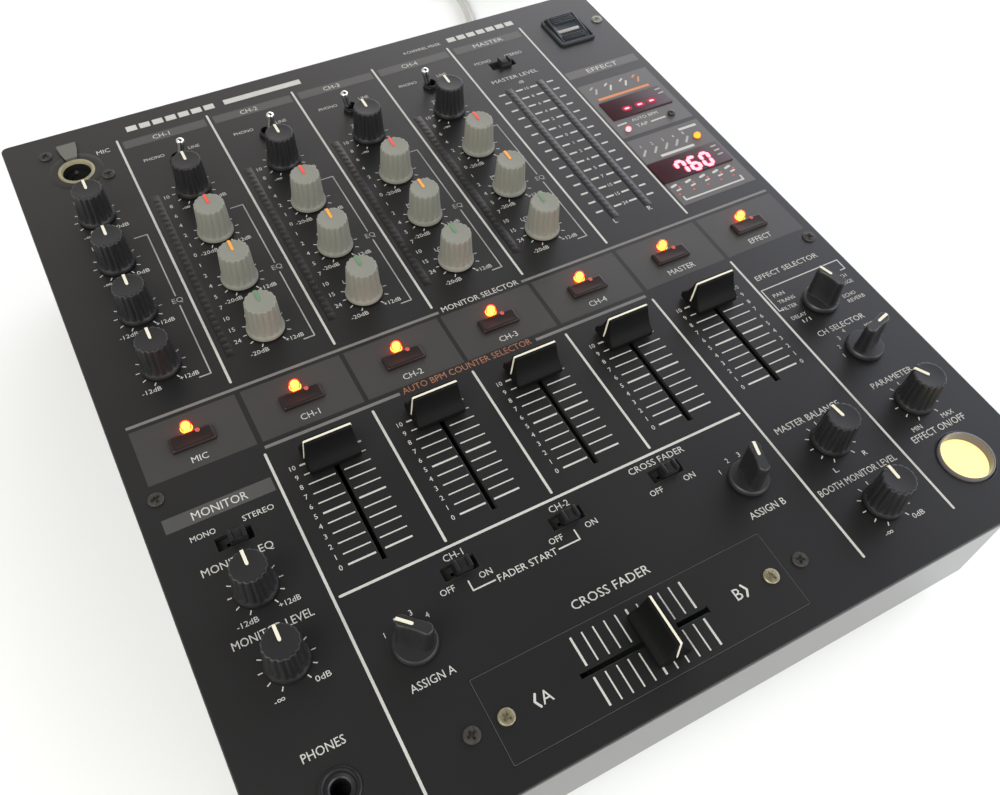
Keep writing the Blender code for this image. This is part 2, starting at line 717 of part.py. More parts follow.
def make_coil(parts):
    inner, outer = COIL_MEAN_RADIUS - COIL_HALF_WIDTH, COIL_MEAN_RADIUS + COIL_HALF_WIDTH
    bottom, top, round_off = CORD_LIFT, COIL_HEIGHT, CORD_DIAMETER / 2
    profile = (
        (inner, top - round_off),
        (inner + round_off, top),
        (outer - round_off, top),
        (outer, top - round_off),
        (outer, bottom + round_off),
        (outer - round_off, bottom),
        (inner + round_off, bottom),
        (inner, bottom + round_off),
    )
    mesh = profile_mesh("coil_profile", profile, closed=True)
    coil = new_object("mains_lead_coil", mesh, parts, on_panel(*COIL_CENTRE, 0))
    paint(turn(coil, COIL_STEPS), (0.12, 0.12, 0.115), 0.45)


def make_plug(parts, cutters):
    """A flat two-blade plug that lies on the coil's right side, its blades towards the front."""
    width, length, height = PLUG_SIZE
    x, y = COIL_CENTRE
    bottom = COIL_HEIGHT + GAP
    at = on_panel(x + COIL_MEAN_RADIUS, y, bottom + height / 2)
    body = lofted(
        "mains_plug",
        (
            (*PLUG_NECK, -PLUG_NECK_LENGTH),
            (*PLUG_NECK, 0),
            (width * 0.8, height * 0.86, 0.1 * length),
            (width, height, 0.35 * length),
            (width, height, length),
        ),
    )
    plug = new_object("mains_plug", body, parts, at)
    plug.rotation_euler.x = math.pi / 2
    bm = bmesh.new()
    thick, reach, tall = BLADE_SIZE
    for side in (-1, 1):
        centre = (side * BLADE_PITCH / 2, 0)
        add_block(bm, centre, (thick, tall), length - SINK, length + reach)
    blades = helper("plug_blades", mesh_from(bm, "plug_blades"), cutters)
    blades.location = at
    blades.rotation_euler.x = math.pi / 2
    boolean(plug, blades, "UNION")
    paint(plug, (0.1, 0.1, 0.1), 0.5)


def shade():
    """Smooth shading on the turned pieces, with their edges kept sharp."""
    for part in bpy.data.objects:
        if any(modifier.type == "SCREW" for modifier in part.modifiers):
            part.modifiers["Turned"].use_smooth_shade = True


def main():
    for old in list(bpy.data.objects):
        bpy.data.objects.remove(old)
    parts = new_collection("dj_mixer")
    cutters = new_collection("dj_mixer_cutters")
    make_chassis(parts, cutters)
    make_top_panel(parts, cutters)
    make_cross_fader_plate(parts, cutters)
    make_control_board(parts, cutters)
    make_knobs(parts)
    make_selectors(parts, cutters)
    make_fader_caps(parts)
    make_buttons(parts)
    make_toggles(parts)
    make_slide_switches(parts)
    make_mains_lead(parts)
    make_coil(parts)
    make_plug(parts, cutters)
    shade()


main()
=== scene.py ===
"""Looks for the DJ mixer: detailed pieces, materials, printed legends, lamps, mains lead, camera and light.

Places on the panel are laid out in millimetres from its front left corner, and spot() turns one into world
metres. Heights are in millimetres above the panel's top face.
"""

import math

import bmesh
import bpy
from mathutils import Matrix, Vector


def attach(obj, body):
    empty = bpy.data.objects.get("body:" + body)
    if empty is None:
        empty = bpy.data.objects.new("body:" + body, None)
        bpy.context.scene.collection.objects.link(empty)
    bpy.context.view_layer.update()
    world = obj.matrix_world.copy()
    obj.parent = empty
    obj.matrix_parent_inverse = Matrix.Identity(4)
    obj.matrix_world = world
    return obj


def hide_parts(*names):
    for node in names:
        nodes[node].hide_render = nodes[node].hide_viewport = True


MM = 0.001
PANEL_WIDTH = 308.0
PANEL_DEPTH = 354.0
BODY_DEPTH = 360.5
PANEL_TOP = 90.0
ROOT = "mixer_body"

COLUMNS = [27.4 + 42.4 * i for i in range(7)]
MIC, MASTER, EFFECT = COLUMNS[0], COLUMNS[5], COLUMNS[6]
ROWS = {"trim": 292, "hi": 262, "mid": 232, "low": 202}
DIVIDERS = (48.4, 91.0, 133.6, 176.2)
CROSS_X, CROSS_Y = 132.9, 22.3
CUE_Y, TOGGLE_Y, SWITCH_Y = 163.8, 313, 73.8
FADER_MIDDLE, FADER_REST = 114, 136
INK = 0.05

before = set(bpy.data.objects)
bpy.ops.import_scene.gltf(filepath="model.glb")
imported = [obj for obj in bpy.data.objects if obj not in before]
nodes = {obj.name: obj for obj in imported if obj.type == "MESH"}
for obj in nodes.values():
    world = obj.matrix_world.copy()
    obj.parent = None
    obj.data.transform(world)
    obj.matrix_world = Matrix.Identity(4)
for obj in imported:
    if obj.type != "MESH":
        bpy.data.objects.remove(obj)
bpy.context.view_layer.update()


def spot(x, y, z=0.0):
    """World metres of a place laid out from the panel's front left corner."""
    return Vector((x - PANEL_WIDTH / 2, y - BODY_DEPTH / 2, PANEL_TOP + z)) * MM


def placed(name, data):
    """A new object in the scene."""
    made = bpy.data.objects.new(name, data)
    bpy.context.scene.collection.objects.link(made)
    return made


# ---------------------------------------------------------------- materials


def shader_node(tree, kind, values=None, **settings):
    """A new shader node, with its settings and the values of its inputs."""
    made = tree.nodes.new("ShaderNode" + kind)
    for key, value in settings.items():
        setattr(made, key, value)
    for key, value in (values or {}).items():
        made.inputs[key].default_value = value
    return made


def colour_mix(tree, first, second):
    """A node that mixes two colours."""
    return shader_node(tree, "Mix", {"A": (*first, 1), "B": (*second, 1)}, data_type="RGBA")


def principled(name, colour, roughness, metallic=0.0, **inputs):
    """A plain surface; further inputs are named as on the shader, with _ for a space."""
    material = bpy.data.materials.new(name)
    material.use_nodes = True
    shader = material.node_tree.nodes["Principled BSDF"]
    shader.inputs["Base Color"].default_value = (*colour, 1)
    shader.inputs["Roughness"].default_value = roughness
    shader.inputs["Metallic"].default_value = metallic
    for key, value in inputs.items():
        shader.inputs[key.replace("_", " ")].default_value = value
    return material


def textured(
    name, colour, roughness, scale=900, bump=0.1, depth=0.02, vary=0.25, metallic=0.0, smear=14, **inputs
):
    """A surface with fine grain in its relief, and slow changes of colour and gloss over it."""
    material = principled(name, colour, roughness, metallic, **inputs)
    tree = material.node_tree
    shader = tree.nodes["Principled BSDF"]
    place = shader_node(tree, "TexCoord")
    grain = shader_node(tree, "TexNoise", {"Scale": scale, "Detail": 3})
    relief = shader_node(tree, "Bump", {"Strength": bump, "Distance": depth * MM})
    slow = shader_node(tree, "TexNoise", {"Scale": smear, "Detail": 6})
    tint = colour_mix(tree, [c * (1 - vary) for c in colour], [min(1, c * (1 + vary)) for c in colour])
    gloss = shader_node(
        tree, "MapRange", {"To Min": roughness * 0.88, "To Max": min(1, roughness * 1.12)}
    )
    link = tree.links.new
    link(place.outputs["Object"], grain.inputs["Vector"])
    link(place.outputs["Object"], slow.inputs["Vector"])
    link(grain.outputs["Fac"], relief.inputs["Height"])
    link(relief.outputs["Normal"], shader.inputs["Normal"])
    link(slow.outputs["Fac"], tint.inputs["Factor"])
    link(tint.outputs["Result"], shader.inputs["Base Color"])
    link(slow.outputs["Fac"], gloss.inputs["Value"])
    link(gloss.outputs["Result"], shader.inputs["Roughness"])
    return material


def glowing(name, core, edge):
    """A glowing surface with a bright core, and a deeper colour towards its rim: the lamps, and the painted
    red glint on the cue keys, which is no lamp.
    """
    material = principled(name, (0.02, 0.008, 0.008), 0.3, Specular_IOR_Level=0.1)
    tree = material.node_tree
    shader = tree.nodes["Principled BSDF"]
    facing = shader_node(tree, "LayerWeight")
    limits = {"From Min": 0.25, "From Max": 0.7}
    rim = shader_node(tree, "MapRange", limits, interpolation_type="SMOOTHSTEP")
    mix = colour_mix(tree, core, edge)
    tree.links.new(facing.outputs["Facing"], rim.inputs["Value"])
    tree.links.new(rim.outputs["Result"], mix.inputs["Factor"])
    tree.links.new(mix.outputs["Result"], shader.inputs["Emission Color"])
    shader.inputs["Emission Strength"].default_value = 1
    return material


def printed(name, colour, vary=0.15, roughness=0.5, smear=160):
    """Screen printed ink."""
    return textured(name, colour, roughness, 2500, 0.1, 0.01, vary, smear=smear)


def inlaid(name, colour):
    """The coloured line let into a knob or a fader cap."""
    return textured(name, colour, 0.4, 1800, 0.1, 0.01, 0.06, smear=90)


def plastic(name, colour, roughness, bump=0.08, vary=0.2, **inputs):
    """A moulded part with a fine, dull grain."""
    return textured(name, colour, roughness, 1800, bump, 0.02, vary, smear=60, **inputs)


PAINT = textured("panel_paint", (0.0068, 0.0068, 0.0068), 0.38, 1500, 0.16, 0.02, 0.15)
CASE = textured("case_paint", (0.014, 0.014, 0.0145), 0.13, 1200, 0.06, 0.02, 0.15)
BLOCK = textured("display_block", (0.07, 0.066, 0.064), 0.42, 1500, 0.12, 0.02, 0.12)
METER = textured("meter_window", (0.0055, 0.005, 0.005), 0.4, 1500, 0.05, 0.01, 0.2, smear=60)
STRIP = textured("strip_paint", (0.031, 0.03, 0.0275), 0.42, 1500, 0.12, 0.02, 0.12)
INK_WHITE = printed("ink_white", (0.42, 0.42, 0.39), 0.14)
INK_DIM = printed("ink_grey", (0.28, 0.28, 0.26))
INK_BAR = printed("ink_bar", (0.05, 0.05, 0.047), 0.1, 0.45, 60)
INK_LINE = printed("ink_line", (0.13, 0.13, 0.12))
INK_ORANGE = printed("ink_orange", (0.5, 0.17, 0.05), 0.12)
INK_BROWN = printed("ink_brown", (0.27, 0.11, 0.05), 0.12)
BLACK = plastic("knob_black", (0.008, 0.008, 0.0085), 0.42, 0.12)
GREY = plastic("knob_grey", (0.17, 0.175, 0.145), 0.5, 0.12, 0.1)
CAP = plastic("fader_cap_black", (0.0035, 0.0035, 0.0035), 0.55, 0.1, Specular_IOR_Level=0.1)
LINE_WHITE = inlaid("line_white", (0.62, 0.6, 0.48))
LINE_RED = inlaid("line_red", (0.68, 0.06, 0.03))
LINE_ORANGE = inlaid("line_orange", (0.8, 0.3, 0.03))
LINE_GREEN = inlaid("line_green", (0.09, 0.2, 0.1))
KEY = plastic("key_black", (0.007, 0.007, 0.0075), 0.42, Specular_IOR_Level=0.35)
CUE = plastic("cue_key", (0.013, 0.007, 0.006), 0.42, Specular_IOR_Level=0.3)
POWER = plastic("power_key", (0.014, 0.018, 0.021), 0.5, Specular_IOR_Level=0.4)
LINING = textured("slide_lining", (0.02, 0.02, 0.019), 0.7, 1500, 0.2, 0.03, 0.2, Specular_IOR_Level=0.2)
WELL = textured("well_black", (0.006, 0.006, 0.006), 0.7, 1500, 0.2, 0.03, 0.2, Specular_IOR_Level=0.2)
RUBBER = textured("rubber", (0.014, 0.014, 0.014), 0.8, 900, 0.3, 0.05, 0.2)
BRASS = textured("screw_brass", (0.3, 0.27, 0.18), 0.45, 900, 0.5, 0.06, 0.5, 0.9, smear=700)
PALE_SCREW = textured("screw_pale", (0.2, 0.2, 0.17), 0.5, 900, 0.6, 0.08, 0.6, 0.4, smear=900)
DARK_SCREW = textured("screw_dark", (0.035, 0.032, 0.028), 0.55, 900, 0.7, 0.1, 0.8, 0.4, smear=900)
CHROME = textured("nickel", (0.6, 0.6, 0.59), 0.18, 900, 0.04, 0.01, 0.06, 1.0, smear=60)
STEEL = textured("steel", (0.42, 0.42, 0.41), 0.32, 900, 0.1, 0.02, 0.15, 1.0, smear=80)
GOLD = textured("socket_gold", (0.24, 0.22, 0.13), 0.5, 900, 0.2, 0.03, 0.3, 0.3, smear=200)
TAB = textured("socket_tab", (0.1, 0.1, 0.085), 0.45, 900, 0.1, 0.02, 0.2)
BOARD = textured("board_green", (0.006, 0.014, 0.008), 0.6, 300, 0.1, 0.05, 0.4)
WHITE_INSERT = textured("insert_white", (0.7, 0.7, 0.68), 0.4, 900, 0.1, 0.02, 0.06)
RED_INSERT = textured("insert_red", (0.5, 0.03, 0.02), 0.4, 900, 0.1, 0.02, 0.06)
CORD = textured("cord_grey", (0.42, 0.42, 0.4), 0.35, 700, 0.12, 0.05, 0.1, smear=40)
PLUG = textured("plug_grey", (0.3, 0.3, 0.29), 0.4, 900, 0.12, 0.03, 0.12, smear=60)
WINDOW = textured(
    "window_red", (0.03, 0.007, 0.011), 0.5, 900, 0.02, 0.01, 0.3, smear=60, Specular_IOR_Level=0.25
)
LAMP_OFF = textured("lamp_off", (0.011, 0.0095, 0.009), 0.4, 900, 0.05, 0.01, 0.3, smear=60)
LENS_RIM = textured("lens_rim", (0.11, 0.105, 0.105), 0.2, 900, 0.03, 0.01, 0.2, smear=60)
LAMP = glowing("lamp_amber", (18, 1.7, 0.22), (15, 0.14, 0.012))
LAMP_YELLOW = glowing("lamp_yellow", (3.0, 0.8, 0.05), (2.0, 0.3, 0.02))
LAMP_RED = glowing("lamp_red", (2.6, 0.8, 0.85), (1.0, 0.004, 0.05))
# Painted reflection: the red glint on the cue keys glows, though nothing there is lit.
GLINT = glowing("painted_glint", (0.65, 0.12, 0.1), (0.4, 0.05, 0.035))
DIGIT_CORE = glowing("digit_core", (2.5, 0.85, 1.0), (2.5, 0.6, 0.8))
DIGIT_HALO = glowing("digit_halo", (0.5, 0.002, 0.045), (0.45, 0.002, 0.04))
LENS = glowing("lens_yellow", (1.5, 1.2, 0.52), (1.4, 0.9, 0.3))


def grip_edges(material, colour, amount):
    """Lightens a material at its sharp convex corners and ridges: a painted highlight along the edges."""
    tree = material.node_tree
    shader = tree.nodes["Principled BSDF"]
    before = shader.inputs["Base Color"].links[0].from_socket
    shape = shader_node(tree, "NewGeometry")
    ramp = shader_node(tree, "MapRange", {"From Min": 0.53, "From Max": 0.62, "To Max": amount})
    mix = shader_node(tree, "Mix", {"B": (*colour, 1)}, data_type="RGBA")
    tree.links.new(shape.outputs["Pointiness"], ramp.inputs["Value"])
    tree.links.new(ramp.outputs["Result"], mix.inputs["Factor"])
    tree.links.new(before, mix.inputs["A"])
    tree.links.new(mix.outputs["Result"], shader.inputs["Base Color"])


# Painted highlight on the edges of the knobs.
grip_edges(BLACK, (0.05, 0.05, 0.05), 0.6)
grip_edges(GREY, (0.3, 0.3, 0.26), 0.6)


# ---------------------------------------------------------------- mesh making

FLUTES = 16


def add(name, mesh, at=(0, 0, 0), turn=(0, 0, 0), slot=None, body=ROOT, node=None):
    """Puts a mesh in the scene on a CAD body, standing for a CAD node if one is named."""
    made = placed(name, mesh)
    made.location = at
    made.rotation_euler = turn
    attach(made, body)
    if node:
        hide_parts(node)
    return made


def moving(node, suffix, mesh, at, turn=(0, 0, 0), slot="black_plastic"):
    """Puts a mesh in the place of a moving CAD node, on that node's own body."""
    add(f"{node}_{suffix}", mesh, at, turn, slot, node + "_body", node)


def finished(bm, name, *materials, smooth=True, angle=32):
    """The mesh of a bmesh whose lengths are in millimetres."""
    bmesh.ops.scale(bm, vec=(MM, MM, MM), verts=bm.verts)
    bmesh.ops.recalc_face_normals(bm, faces=bm.faces)
    mesh = bpy.data.meshes.new(name)
    for face in bm.faces:
        face.smooth = smooth
    bm.to_mesh(mesh)
    bm.free()
    if smooth:
        mesh.set_sharp_from_angle(angle=math.radians(angle))
    for material in materials:
        mesh.materials.append(material)
    return mesh


def skin(bm, rings, material=0, cap_start=True, cap_end=True):
    """Faces between rings of points, which may start or end in a single point."""
    made = [[bm.verts.new(p) for p in ring] for ring in rings]
    faces = []
    for lower, upper in zip(made, made[1:]):
        count = max(len(lower), len(upper))
        for i in range(count):
            j = (i + 1) % count
            if len(lower) == 1:
                corners = (lower[0], upper[j], upper[i])
            elif len(upper) == 1:
                corners = (lower[i], lower[j], upper[0])
            else:
                corners = (lower[i], lower[j], upper[j], upper[i])
            faces.append(bm.faces.new(corners))
    if cap_start and len(made[0]) > 2:
        faces.append(bm.faces.new(list(reversed(made[0]))))
    if cap_end and len(made[-1]) > 2:
        faces.append(bm.faces.new(made[-1]))
    for face in faces:
        face.material_index = material
    return made


def ring(radius, z, steps, flute=0.0, centre=(0, 0)):
    """A ring of points, with grooves flute deep pressed into it."""
    if radius == 0:
        return [(*centre, z)]
    points = []
    for i in range(steps):
        angle = 2 * math.pi * i / steps
        groove = (0.5 - 0.5 * math.cos(FLUTES * angle)) ** 2.4
        r = radius - flute * groove
        points.append((centre[0] + r * math.cos(angle), centre[1] + r * math.sin(angle), z))
    return points


def lathe(bm, profile, steps=32, material=0, centre=(0, 0)):
    """Turns a profile of (radius, height) or (radius, height, groove depth)."""
    rings = [ring(p[0], p[1], steps, p[2] if len(p) > 2 else 0, centre) for p in profile]
    return skin(bm, rings, material)


def lathe_ring(bm, profile, steps, material=0, centre=(0, 0)):
    """Turns a profile of (radius, height) and leaves both its ends open."""
    rings = [ring(r, z, steps, centre=centre) for r, z in profile]
    return skin(bm, rings, material, cap_start=False, cap_end=False)


def pin_places(radius):
    """Where the three contacts of a round audio socket stand."""
    angles = [math.radians(degrees) for degrees in (90, 210, 330)]
    return [(radius * math.cos(angle), radius * math.sin(angle)) for angle in angles]


def block_ring(half_x, half_y, z, corner=0.5, centre=(0, 0), steps=3):
    """A rectangle with rounded corners."""
    corner = min(corner, half_x, half_y)
    points = []
    for quarter, (sx, sy) in enumerate(((1, 1), (-1, 1), (-1, -1), (1, -1))):
        for i in range(steps + 1):
            angle = math.pi / 2 * (quarter + i / steps)
            x = sx * (half_x - corner) + corner * math.cos(angle)
            y = sy * (half_y - corner) + corner * math.sin(angle)
            points.append((centre[0] + x, centre[1] + y, z))
    return points


def block(bm, half_x, half_y, low, high, corner=0.5, edge=0.2, centre=(0, 0), material=0):
    """An upright block with rounded corners and a softened top edge."""
    sizes = ((0, low), (0, high - edge), (edge * 0.3, high - edge * 0.3), (edge, high))
    rings = [block_ring(half_x - i, half_y - i, z, corner, centre) for i, z in sizes]
    return skin(bm, rings, material)


def ribbon(bm, path, width, thick, material=0):
    """A flat bar of that width along X, that follows a path of (y, z) with its top on the path."""
    rings = []
    for i, (y, z) in enumerate(path):
        before, after = path[max(i - 1, 0)], path[min(i + 1, len(path) - 1)]
        along = Vector((after[0] - before[0], after[1] - before[1])).normalized()
        down = Vector((along.y, -along.x)) * thick
        half = width / 2 * (0.55 if i in (0, len(path) - 1) else 1)
        low_y, low_z = y + down.x, z + down.y
        rings.append([(-half, low_y, low_z), (half, low_y, low_z), (half, y, z), (-half, y, z)])
    return skin(bm, rings, material)


# ---------------------------------------------------------------- printed legends


class Print:
    """Flat ink on the panel, gathered into one mesh."""

    def __init__(self, name, material, height=INK):
        self.name, self.material, self.height = name, material, height
        self.bm = bmesh.new()
        self.layer = 0

    def level(self):
        """A height of its own for each shape, so that crossing shapes don't lie in one plane."""
        self.layer = (self.layer + 1) % 8
        return self.height + 0.003 * self.layer

    def shape(self, points):
        """A flat outline filled with ink."""
        z = self.level()
        self.bm.faces.new([self.bm.verts.new((x, y, z)) for x, y in points])

    def bar(self, x0, y0, x1, y1):
        """An upright rectangle between two opposite corners."""
        self.shape(((x0, y0), (x1, y0), (x1, y1), (x0, y1)))

    def line(self, ax, ay, bx, by, width=0.9, rounded=True):
        """A straight stroke from a to b, with round or square ends."""
        along = Vector((bx - ax, by - ay)).normalized()
        side = Vector((-along.y, along.x)) * width / 2
        a, b = Vector((ax, ay)), Vector((bx, by))
        points = []
        for end, way in ((b, 1), (a, -1)):
            steps = 4 if rounded else 1
            for i in range(steps + 1):
                angle = -math.pi / 2 + math.pi * i / steps
                off = along * math.cos(angle) * width / 2 if rounded else Vector((0, 0))
                points.append(end + (off + side * math.sin(angle)) * way)
        self.shape(points)

    def path(self, points, width=0.5):
        """Strokes from point to point."""
        for a, b in zip(points, points[1:]):
            self.line(*a, *b, width)

    def text(self, words, x, y, height, width=None):
        """Words in the built-in font, centred on a place, as tall and as wide as given."""
        mesh = letters(words)
        xs = [v.co.x for v in mesh.vertices]
        ys = [v.co.y for v in mesh.vertices]
        mid_x, mid_y = (min(xs) + max(xs)) / 2, (min(ys) + max(ys)) / 2
        tall = height / CAP_HEIGHT
        wide = width / (max(xs) - min(xs)) if width else tall * 0.95
        grow = Matrix.Diagonal((wide, tall, 1, 1))
        shift = Matrix.Translation((-mid_x, -mid_y, 0))
        mesh.transform(Matrix.Translation((x, y, self.level())) @ grow @ shift)
        self.bm.from_mesh(mesh)
        bpy.data.meshes.remove(mesh)

    def place(self):
        """Puts the gathered ink on the panel, facing up."""
        for vert in self.bm.verts:
            vert.co += Vector((-PANEL_WIDTH / 2, -BODY_DEPTH / 2, PANEL_TOP))
        bmesh.ops.recalc_face_normals(self.bm, faces=self.bm.faces)
        down = [face for face in self.bm.faces if face.normal.z < 0]
        bmesh.ops.reverse_faces(self.bm, faces=down)
        bmesh.ops.scale(self.bm, vec=(MM, MM, MM), verts=self.bm.verts)
        mesh = bpy.data.meshes.new(self.name)
        self.bm.to_mesh(mesh)
        self.bm.free()
        mesh.materials.append(self.material)
        add(self.name, mesh, slot="panel_black")


def letters(words):
    """A mesh of words in the built-in font, at size 1."""
    curve = bpy.data.curves.new("words", "FONT")
    curve.body = words
    curve.resolution_u = 2
    source = placed("words", curve)
    bpy.context.view_layer.update()
    mesh = bpy.data.meshes.new_from_object(source)
    bpy.data.objects.remove(source)
    bpy.data.curves.remove(curve)
    return mesh


def cap_height():
    """How tall a capital of the built-in font is, at size 1."""
    mesh = letters("H")
    heights = [v.co.y for v in mesh.vertices]
    bpy.data.meshes.remove(mesh)
    return max(heights) - min(heights)


CAP_HEIGHT = cap_height()
white = Print("legend_white", INK_WHITE)
dim = Print("legend_grey", INK_DIM)
bars = Print("title_bars", INK_BAR, INK * 0.6)
orange = Print("legend_orange", INK_ORANGE)
brown = Print("legend_brown", INK_BROWN)
red = Print("legend_red", LINE_RED)
strip = Print("button_strip", STRIP, INK * 0.5)
blocks = Print("display_blocks", BLOCK, INK * 0.5)
lines = Print("strip_lines", INK_LINE)
marks = Print("window_marks", INK_DIM, 0.54)


def knob_scale(x, y, low, high, drop=10.2):
    """The eleven ticks round a knob, and the words at its two ends."""
    for i in range(-5, 6):
        angle = math.radians(30 * i)
        across, along = math.sin(angle), math.cos(angle)
        white.line(x + 8.15 * across, y + 8.15 * along, x + 9.7 * across, y + 9.7 * along, 0.42, False)
    if low:
        white.text(low, x - 6.6, y - drop, 2.0, min(7.4, 1.75 * len(low)))
    if high:
        white.text(high, x + 8.3, y - drop + 1.1, 2.0, min(7.4, 1.75 * len(high)))


def dial_words(centre_x, centre_y, height, words):
    """Words round a selector, each at an angle from the rear and at a radius."""
    for word, angle, radius in words:
        turn = math.radians(angle)
        white.text(word, centre_x + radius * math.sin(turn), centre_y + radius * math.cos(turn), height)


def print_upper():
    """Legends of the microphone, channel and master columns, behind the button strip."""
    for x in (*DIVIDERS, 218.4, 261.2):
        white.line(x, 182.6, x, 337.4, 1.0)
    for left, right in ((50.4, 89.2), (93, 131.8), (135.6, 174.4), (178.2, 216.6), (220.6, 259.2)):
        bars.bar(left, 330.3, right, 335.8)
    for n in range(4):
        white.text(f"CH-{n + 1}", COLUMNS[n + 1] - 2, 333.1, 2.8)
    white.text("MIC", 41, 333, 2.6)
    white.text("MASTER", 240, 333.1, 2.8, 17)
    white.bar(101.5, 341.8, 140.5, 345.4)
    white.text("4-CHANNEL MIXER", 206.5, 342.6, 2.0, 21)
    for i in range(7):
        white.bar(54.5 + 6.2 * i, 341.6, 59.4 + 6.2 * i, 345.3)
        white.bar(221.5 + 5.7 * i, 341.6, 226.0 + 5.7 * i, 345.1)
    knob_scale(MIC, 292, "-∞", "0dB")
    knob_scale(MIC, 262, "-∞", "0dB")
    white.text("LEVEL 1", MIC - 2, 304.3, 2.2)
    white.text("LEVEL 2", MIC - 2, 274.3, 2.2)
    for y, words in ((232, "HI"), (202, "LOW")):
        knob_scale(MIC, y, "-12dB", "+12dB", 10.2)
        white.text(words, MIC - 2, y + 9.3, 2.2)
    for x in COLUMNS[1:5]:
        knob_scale(x, 292, "-∞", "+9dB")
        white.text("TRIM", x - 2, 301.3, 2.0)
        for word in ("hi", "mid", "low"):
            knob_scale(x + 0.3, ROWS[word], "-20dB", "+12dB")
            white.text(word.upper(), x - 2.2, ROWS[word] + 9.3, 2.0)
        white.text("PHONO", x - 9.5, 319, 1.9)
        white.text("LINE", x + 9, 319, 1.9)
    for x in [column + 15.9 for column in COLUMNS[:5]]:
        bottom, top = 190.2, 273.0
        dim.path(((x - 4.5, bottom), (x, bottom), (x, 228.4)), 0.55)
        dim.path(((x, 234.2), (x, top), (x - 5.5, top)), 0.55)
        dim.text("EQ", x, 231.3, 2.6)


def print_strip():
    """The lighter band of the cue buttons, with its lines and words."""
    edges = (7.5, 47.7, 49.8, 90.2, 92.0, 132.8, 134.5, 175.2, 177.1, 217.2, 219.1, 259.9, 261.8, 303.4)
    for left, right in zip(edges[::2], edges[1::2]):
        strip.bar(left, 151.5, right, 176.7)
    lines.bar(7.2, 178.3, 135.0, 179.6)
    lines.bar(173.7, 178.3, 303.2, 179.6)
    white.text("MONITOR SELECTOR", 154.5, 179.6, 2.7, 35.5)
    lines.bar(49.5, 148.2, 103.6, 149.6)
    lines.bar(163.6, 148.2, 216.6, 149.6)
    brown.text("AUTO BPM COUNTER SELECTOR", 133.2, 149.4, 2.9, 56.5)
    names = ("MIC", "CH-1", "CH-2", "CH-3", "CH-4", "MASTER", "EFFECT")
    for x, words in zip(COLUMNS, names):
        white.text(words, x, 155.4, 2.7)


def print_faders():
    """Scales of the upright faders and of the cross fader."""
    for x in COLUMNS[1:6]:
        for n in range(11):
            y = 92 + 4.4 * n
            width = 0.75 if n in (0, 5, 10) else 0.5
            white.line(x - 12, y, x - 1.7, y, width, False)
            white.line(x + 1.7, y, x + 12, y, width, False)
            white.text(str(n), x - 14.7, y, 2.0)
            if x == MASTER:
                white.text(str(n), x + 14.7, y, 2.0)
    for x, top, bottom in ((48.5, 146, 13), (91.1, 146, 85), (133.5, 146, 85), (175.9, 146, 85)):
        white.line(x, bottom, x, top, 1.0)
    white.line(218.2, 13, 218.2, 146, 1.0)
    white.line(261, 13, 261, 149, 1.0)
    white.line(50.8, 82.5, 215.8, 82.5, 1.0)
    for n in range(11):
        x = CROSS_X + 4.31 * (n - 5)
        width = 0.8 if n in (0, 5, 10) else 0.55
        white.line(x, 24.4, x, 35, width, False)
        white.line(x, 10, x, 20.2, width, False)
    white.text("A", 94.9, 22, 4.2)
    white.text("B", 170.0, 22, 4.2)
    white.path(((91.9, 24.2), (90.7, 22), (91.9, 19.8)), 0.8)
    white.path(((172.6, 24.2), (173.8, 22), (172.6, 19.8)), 0.8)


